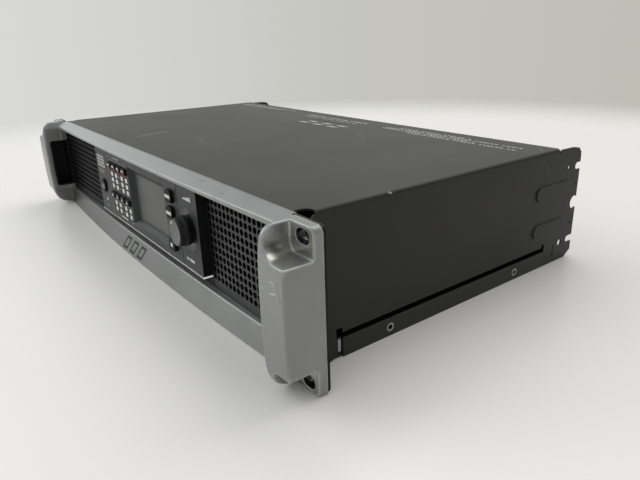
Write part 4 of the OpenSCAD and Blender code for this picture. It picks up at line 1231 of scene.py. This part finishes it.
def make_fascia_markings():
    marks = Markings()
    # upper left: two rows of open cells over two lines
    for z in (27.2, 21.6):
        for k in range(3):
            cx = -81.5 + k * 6.6
            marks.bar(cx, z + 1.9, 4.4, 0.7)
            marks.bar(cx, z - 1.9, 4.4, 0.7)
            marks.bar(cx - 1.9, z, 0.7, 3.6)
            marks.bar(cx + 1.9, z, 0.7, 3.6)
    for z, count in ((16.6, 7), (14.4, 6)):
        marks.row(-83.4, 2.4, count, z, 1.7, 0.9, GREY)
    marks.bar(POWER_X, -15.2, 6.4, 0.8, GREY)
    # header row above the mute keys: x, width
    for cx, width in ((-50.2, 1.2), (-38.5, 2.0), (-35.4, 2.4), (-31.8, 2.8), (-28.2, 2.6),
                      (-25.0, 2.0), (-8.6, 1.0)):
        marks.bar(cx, 32.4, width, 1.3, GREY)
    # long lines across the label panels, and dots between the lights
    marks.bar(-29.0, 29.9, 44, 0.25, GREY)
    marks.bar(-29.0, 20.9, 44, 0.28, RED, lift=0.05)
    marks.bar(-29.0, -4.6, 44, 0.28, GREY, lift=0.05)
    for z in UPPER_LED_Z + LOWER_LED_Z:
        marks.row(-30.4, 1.3, 3, z, 0.9, 0.7, GREY, lift=0.05)
    marks.row(-36.0, 2.7, 6, -17.0, 1.9, 1.0)
    marks.bar(-9.0, -17.2, 1.2, 1.2)
    # upright split lines, and the lines at the fascia's ends, which are painted highlights on its
    # edges
    for x in (-57.6, -5.9):
        marks.bar(x, 7.6, 0.5, 55.0, DIM)
    for x in (-87.55, 120.1):
        marks.bar(x, 7.6, 0.4, 55.2, DIM, lift=-0.03)
    marks.bar(90.4, 7.6, 0.8, 55.6, BLACK, lift=0.02)
    # level wedge above the dish and a row of ticks below it
    for k in range(6):
        marks.bar(101.4 + k * 2.0, 28.0 + 0.16 * k, 1.25, 1.2 + 0.36 * k)
    for k in range(5):
        marks.bar(98.0 + k * 2.4, -13.9, 1.7, 2.0 if k != 1 else 0.7)
    # arcs round the dish, in steps of 4 degrees: start angle, steps
    for start, steps in ((205, 14), (278, 14), (60, 22)):
        inner, outer = (arc(KNOB_X, KNOB_Z, radius, start, start + 4 * steps, steps)
                        for radius in (15.6 - 0.16, 15.6 + 0.16))
        for k in range(steps):
            marks.slab([inner[k], outer[k], outer[k + 1], inner[k + 1]],
                       FASCIA_Y - 0.05, FASCIA_Y + 0.02, BLACK)
    marks.make("fascia_markings", FASCIA_INKS, slot="light_pipe")


make_fascia_markings()


# ---------------------------------------------------------------------------
# marks on the lower rail and the cover
# ---------------------------------------------------------------------------
def on_rail(outline, lift):
    return [(x, float(lower_rail_y(x, z)) - lift, z) for x, z in outline]


def make_rail_mark(width=1.6):
    """Three slanted outlines, each of four square-ended strokes."""
    build = Build()
    for x0 in (-30.5, -14.0, 2.5):
        corners = [(x0, -40.8), (x0 + 8.6, -40.8), (x0 + 13.4, -32.6), (x0 + 4.8, -32.6)]
        for k in range(4):
            (ax, az), (bx, bz) = corners[k], corners[(k + 1) % 4]
            length = math.hypot(bx - ax, bz - az)
            # half a width along the stroke
            ex, ez = (bx - ax) / length * width / 2, (bz - az) / length * width / 2
            outline = [(ax - ex - ez, az - ez + ex), (ax - ex + ez, az - ez - ex),
                       (bx + ex + ez, bz + ez - ex), (bx + ex - ez, bz + ez + ex)]
            build.prism(on_rail(outline, 0.07), on_rail(outline, -0.2))
    build.make("rail_mark", ["ink_black"], slot="black_paint")


# rows of dashes near the rear of the cover: first x, last x, y, height, pitch
COVER_ROWS = [
    (-205, -95, 212.5, 1.8, 3.6), (-205, -120, 207.5, 1.8, 3.6),
    (-60, 30, 206.0, 2.4, 5.0), (-55, 25, 199.5, 1.8, 3.6),
    (75, 150, 209.5, 1.9, 3.6), (60, 200, 205.3, 1.9, 3.6),
    (60, 160, 201.1, 1.9, 3.6), (95, 200, 196.9, 1.9, 3.6)]


def make_cover_markings():
    build = Build()

    def flat(outline):
        """Thin plate of an (x, y) outline on the cover's top."""
        low, high = ([(x, y, z) for x, y in outline] for z in (43.78, 43.84))
        build.prism(low, high, flip=True)

    for x, last_x, y, height, pitch in COVER_ROWS:
        k = 0
        while x < last_x:
            width = pitch * (0.55 + 0.25 * (k % 3) / 2)
            flat([(x, y), (x + width, y), (x + width, y + height), (x, y + height)])
            x += pitch + (pitch * 0.9 if k % 6 == 5 else 0)
            k += 1
    # two rows of slanted bars, the rear one shifted right
    for first_x in (-31, -9, 13):
        for shift, y in ((0, 172), (5, 180)):
            x = first_x + shift
            flat([(x, y), (x + 12, y), (x + 17, y + 3.4), (x + 5, y + 3.4)])
    build.make("cover_markings", ["ink_cover"], slot="light_pipe")


make_rail_mark()
make_cover_markings()


# ---------------------------------------------------------------------------
# softened edges on CAD pieces
# ---------------------------------------------------------------------------
def soften(name, width):
    """Welds, merges coplanar faces, bevels, then weights the normals by face area."""
    obj = NODES[name]
    mesh = obj.data
    if "custom_normal" in mesh.attributes:
        mesh.attributes.remove(mesh.attributes["custom_normal"])
    mesh.polygons.foreach_set("use_smooth", [True] * len(mesh.polygons))
    weld = obj.modifiers.new("weld", "WELD")
    weld.merge_threshold = 0.00001
    planar = obj.modifiers.new("planar", "DECIMATE")
    planar.decimate_type = "DISSOLVE"
    planar.angle_limit = math.radians(0.6)
    bevel = obj.modifiers.new("bevel", "BEVEL")
    bevel.width = width * MM
    bevel.segments = 2
    bevel.limit_method = "ANGLE"
    bevel.angle_limit = math.radians(32)
    bevel.use_clamp_overlap = True
    bevel.harden_normals = False
    normals = obj.modifiers.new("normals", "WEIGHTED_NORMAL")
    normals.weight = 80
    normals.keep_sharp = True


BEVEL_WIDTHS = {"top_cover": 0.28, "bottom_tray": 0.25, "front_plate": 0.3,
                "control_fascia": 0.3, "fascia_trim": 0.15, "rear_panel": 0.2,
                "display_window": 0.2}
for name, width in BEVEL_WIDTHS.items():
    soften(name, width)


# ---------------------------------------------------------------------------
# floor and world
# ---------------------------------------------------------------------------
FLOOR_HALF, FLOOR_CELLS = 1.6, 24  # metres, cells along each side


def floor_material():
    """Pale satin floor that fades into the background far from the object."""
    mat = Material("pale_floor")
    mat.colour = mat.mix(mat.ramp(mat.noise(scale=1.1, detail=2), over=(0.3, 0.7)),
                         (0.84, 0.824, 0.782), (0.86, 0.845, 0.806))
    mat.finish(mat.ramp(mat.noise(scale=2.2, detail=2), over=(0.3, 0.7), to=(0.27, 0.33)),
               Specular_IOR_Level=0.4)
    x, y, z = mat.position()
    squares = mat.math("ADD", mat.math("POWER", x, 2.0),
                       mat.math("POWER", mat.math("SUBTRACT", y, FLOOR_Y), 2.0))
    fade = mat.ramp(mat.math("SQRT", squares), over=(600.0, 1050.0), interpolation="SMOOTHSTEP")
    clear = mat.wire("ShaderNodeBsdfTransparent", {})
    mat.put(mat.tree.nodes["Material Output"].inputs["Surface"],
            mat.mix_shaders(fade, mat.surface.outputs[0], clear))
    return mat.material


def make_floor():
    bm = bmesh.new()
    steps = [-FLOOR_HALF + 2 * FLOOR_HALF * i / FLOOR_CELLS for i in range(FLOOR_CELLS + 1)]
    grid = [[bm.verts.new((x, y, 0)) for y in steps] for x in steps]
    for i in range(FLOOR_CELLS):
        for j in range(FLOOR_CELLS):
            bm.faces.new((grid[i][j], grid[i + 1][j], grid[i + 1][j + 1], grid[i][j + 1]))
    mesh = bpy.data.meshes.new("stage_floor")
    bm.to_mesh(mesh)
    bm.free()
    mesh.materials.append(floor_material())
    floor = bpy.data.objects.new("stage_floor", mesh)
    floor.location = (0, FLOOR_Y * MM, -HALF_HEIGHT * MM - 0.00005)
    scene.collection.objects.link(floor)


# light from the room, from below to overhead: position, linear colour
ROOM = [(0.0, (0.50, 0.49, 0.46)), (0.49, (0.56, 0.55, 0.53)), (0.51, (0.66, 0.67, 0.66)),
        (0.60, (0.70, 0.71, 0.70)), (0.72, (0.60, 0.61, 0.62)), (1.0, (1.02, 1.03, 1.05))]
# the wall the camera sees, from left to right: position, linear colour
WALL = [(0.0, linear((0.86, 0.86, 0.855))), (0.25, linear((0.82, 0.82, 0.81))),
        (0.5, linear((0.775, 0.775, 0.752))), (1.0, linear((0.745, 0.738, 0.70)))]
WALL_RIGHT = (0.614, 0.789, 0.0)  # direction in which the wall runs to the camera's right


def make_world():
    world = bpy.data.worlds.new("soft_room")
    scene.world = world
    world.use_nodes = True
    nodes = Nodes(world.node_tree, "Generated")
    x, y, z = nodes.split(nodes.coords)
    room = nodes.tree.nodes["Background"]
    nodes.put(room.inputs["Color"], nodes.colour_ramp(nodes.ramp(z, over=(-1.0, 1.0)), ROOM))
    # the room is a little darker on the +x side
    nodes.put(room.inputs["Strength"], nodes.ramp(x, over=(0.1, 0.9), to=(0.80, 0.60)))
    side = nodes.vector("DOT_PRODUCT", nodes.coords, WALL_RIGHT, output="Value")
    wall = nodes.colour_ramp(nodes.ramp(side, over=(-0.6, 0.6)), WALL)
    seen = nodes.wire("ShaderNodeBackground", {"Color": wall})
    by_camera = nodes.wire("ShaderNodeLightPath", {}, "Is Camera Ray")
    nodes.put(nodes.tree.nodes["World Output"].inputs["Surface"],
              nodes.mix_shaders(by_camera, room.outputs[0], seen))


make_floor()
make_world()


# ---------------------------------------------------------------------------
# lights and camera
# ---------------------------------------------------------------------------
def area_light(name, location, target, size, energy, color):
    light = bpy.data.lights.new(name, "AREA")
    light.shape = "RECTANGLE"
    light.size, light.size_y = size
    light.energy = energy
    light.color = color
    obj = bpy.data.objects.new(name, light)
    obj.location = location
    obj.rotation_mode = "QUATERNION"
    aim = Vector(target) - Vector(location)
    obj.rotation_quaternion = aim.to_track_quat("-Z", "Y")
    scene.collection.objects.link(obj)


area_light("window_light", location=(-1.5, -1.1, 1.15), target=(0, 0.05, 0), size=(1.8, 1.3),
           energy=19.5, color=(0.97, 0.985, 1.0))
area_light("ceiling_light", location=(-0.3, 1.2, 1.8), target=(0, 0.1, 0), size=(2.2, 1.4),
           energy=18, color=(1.0, 0.985, 0.955))

CAMERA_PLACE = (0.424292346, -0.136579008, 0.122416498)
# radians: azimuth from +y towards +x, angle below the horizon, roll
CAMERA_AZIMUTH, CAMERA_DIP, CAMERA_ROLL = -0.917625435, 0.341528228, -0.0247355087


def make_camera():
    forward = Vector((math.sin(CAMERA_AZIMUTH) * math.cos(CAMERA_DIP),
                      math.cos(CAMERA_AZIMUTH) * math.cos(CAMERA_DIP), -math.sin(CAMERA_DIP)))
    level_right = forward.cross(Vector((0, 0, 1))).normalized()
    level_up = level_right.cross(forward)
    right = math.cos(CAMERA_ROLL) * level_right + math.sin(CAMERA_ROLL) * level_up
    up = -math.sin(CAMERA_ROLL) * level_right + math.cos(CAMERA_ROLL) * level_up
    camera = bpy.data.cameras.new("photo_camera")
    camera.sensor_fit = "HORIZONTAL"
    camera.sensor_width = 36.0
    camera.lens = 30.84013125
    camera.shift_x = -0.01944375
    camera.shift_y = -0.0140515625
    camera.clip_start, camera.clip_end = 0.01, 50
    obj = bpy.data.objects.new("photo_camera", camera)
    rotation = Matrix((right, up, -forward)).transposed()
    obj.matrix_world = Matrix.Translation(Vector(CAMERA_PLACE)) @ rotation.to_4x4()
    scene.collection.objects.link(obj)
    scene.camera = obj


make_camera()
scene.view_settings.view_transform = "Standard"
scene.view_settings.look = "None"
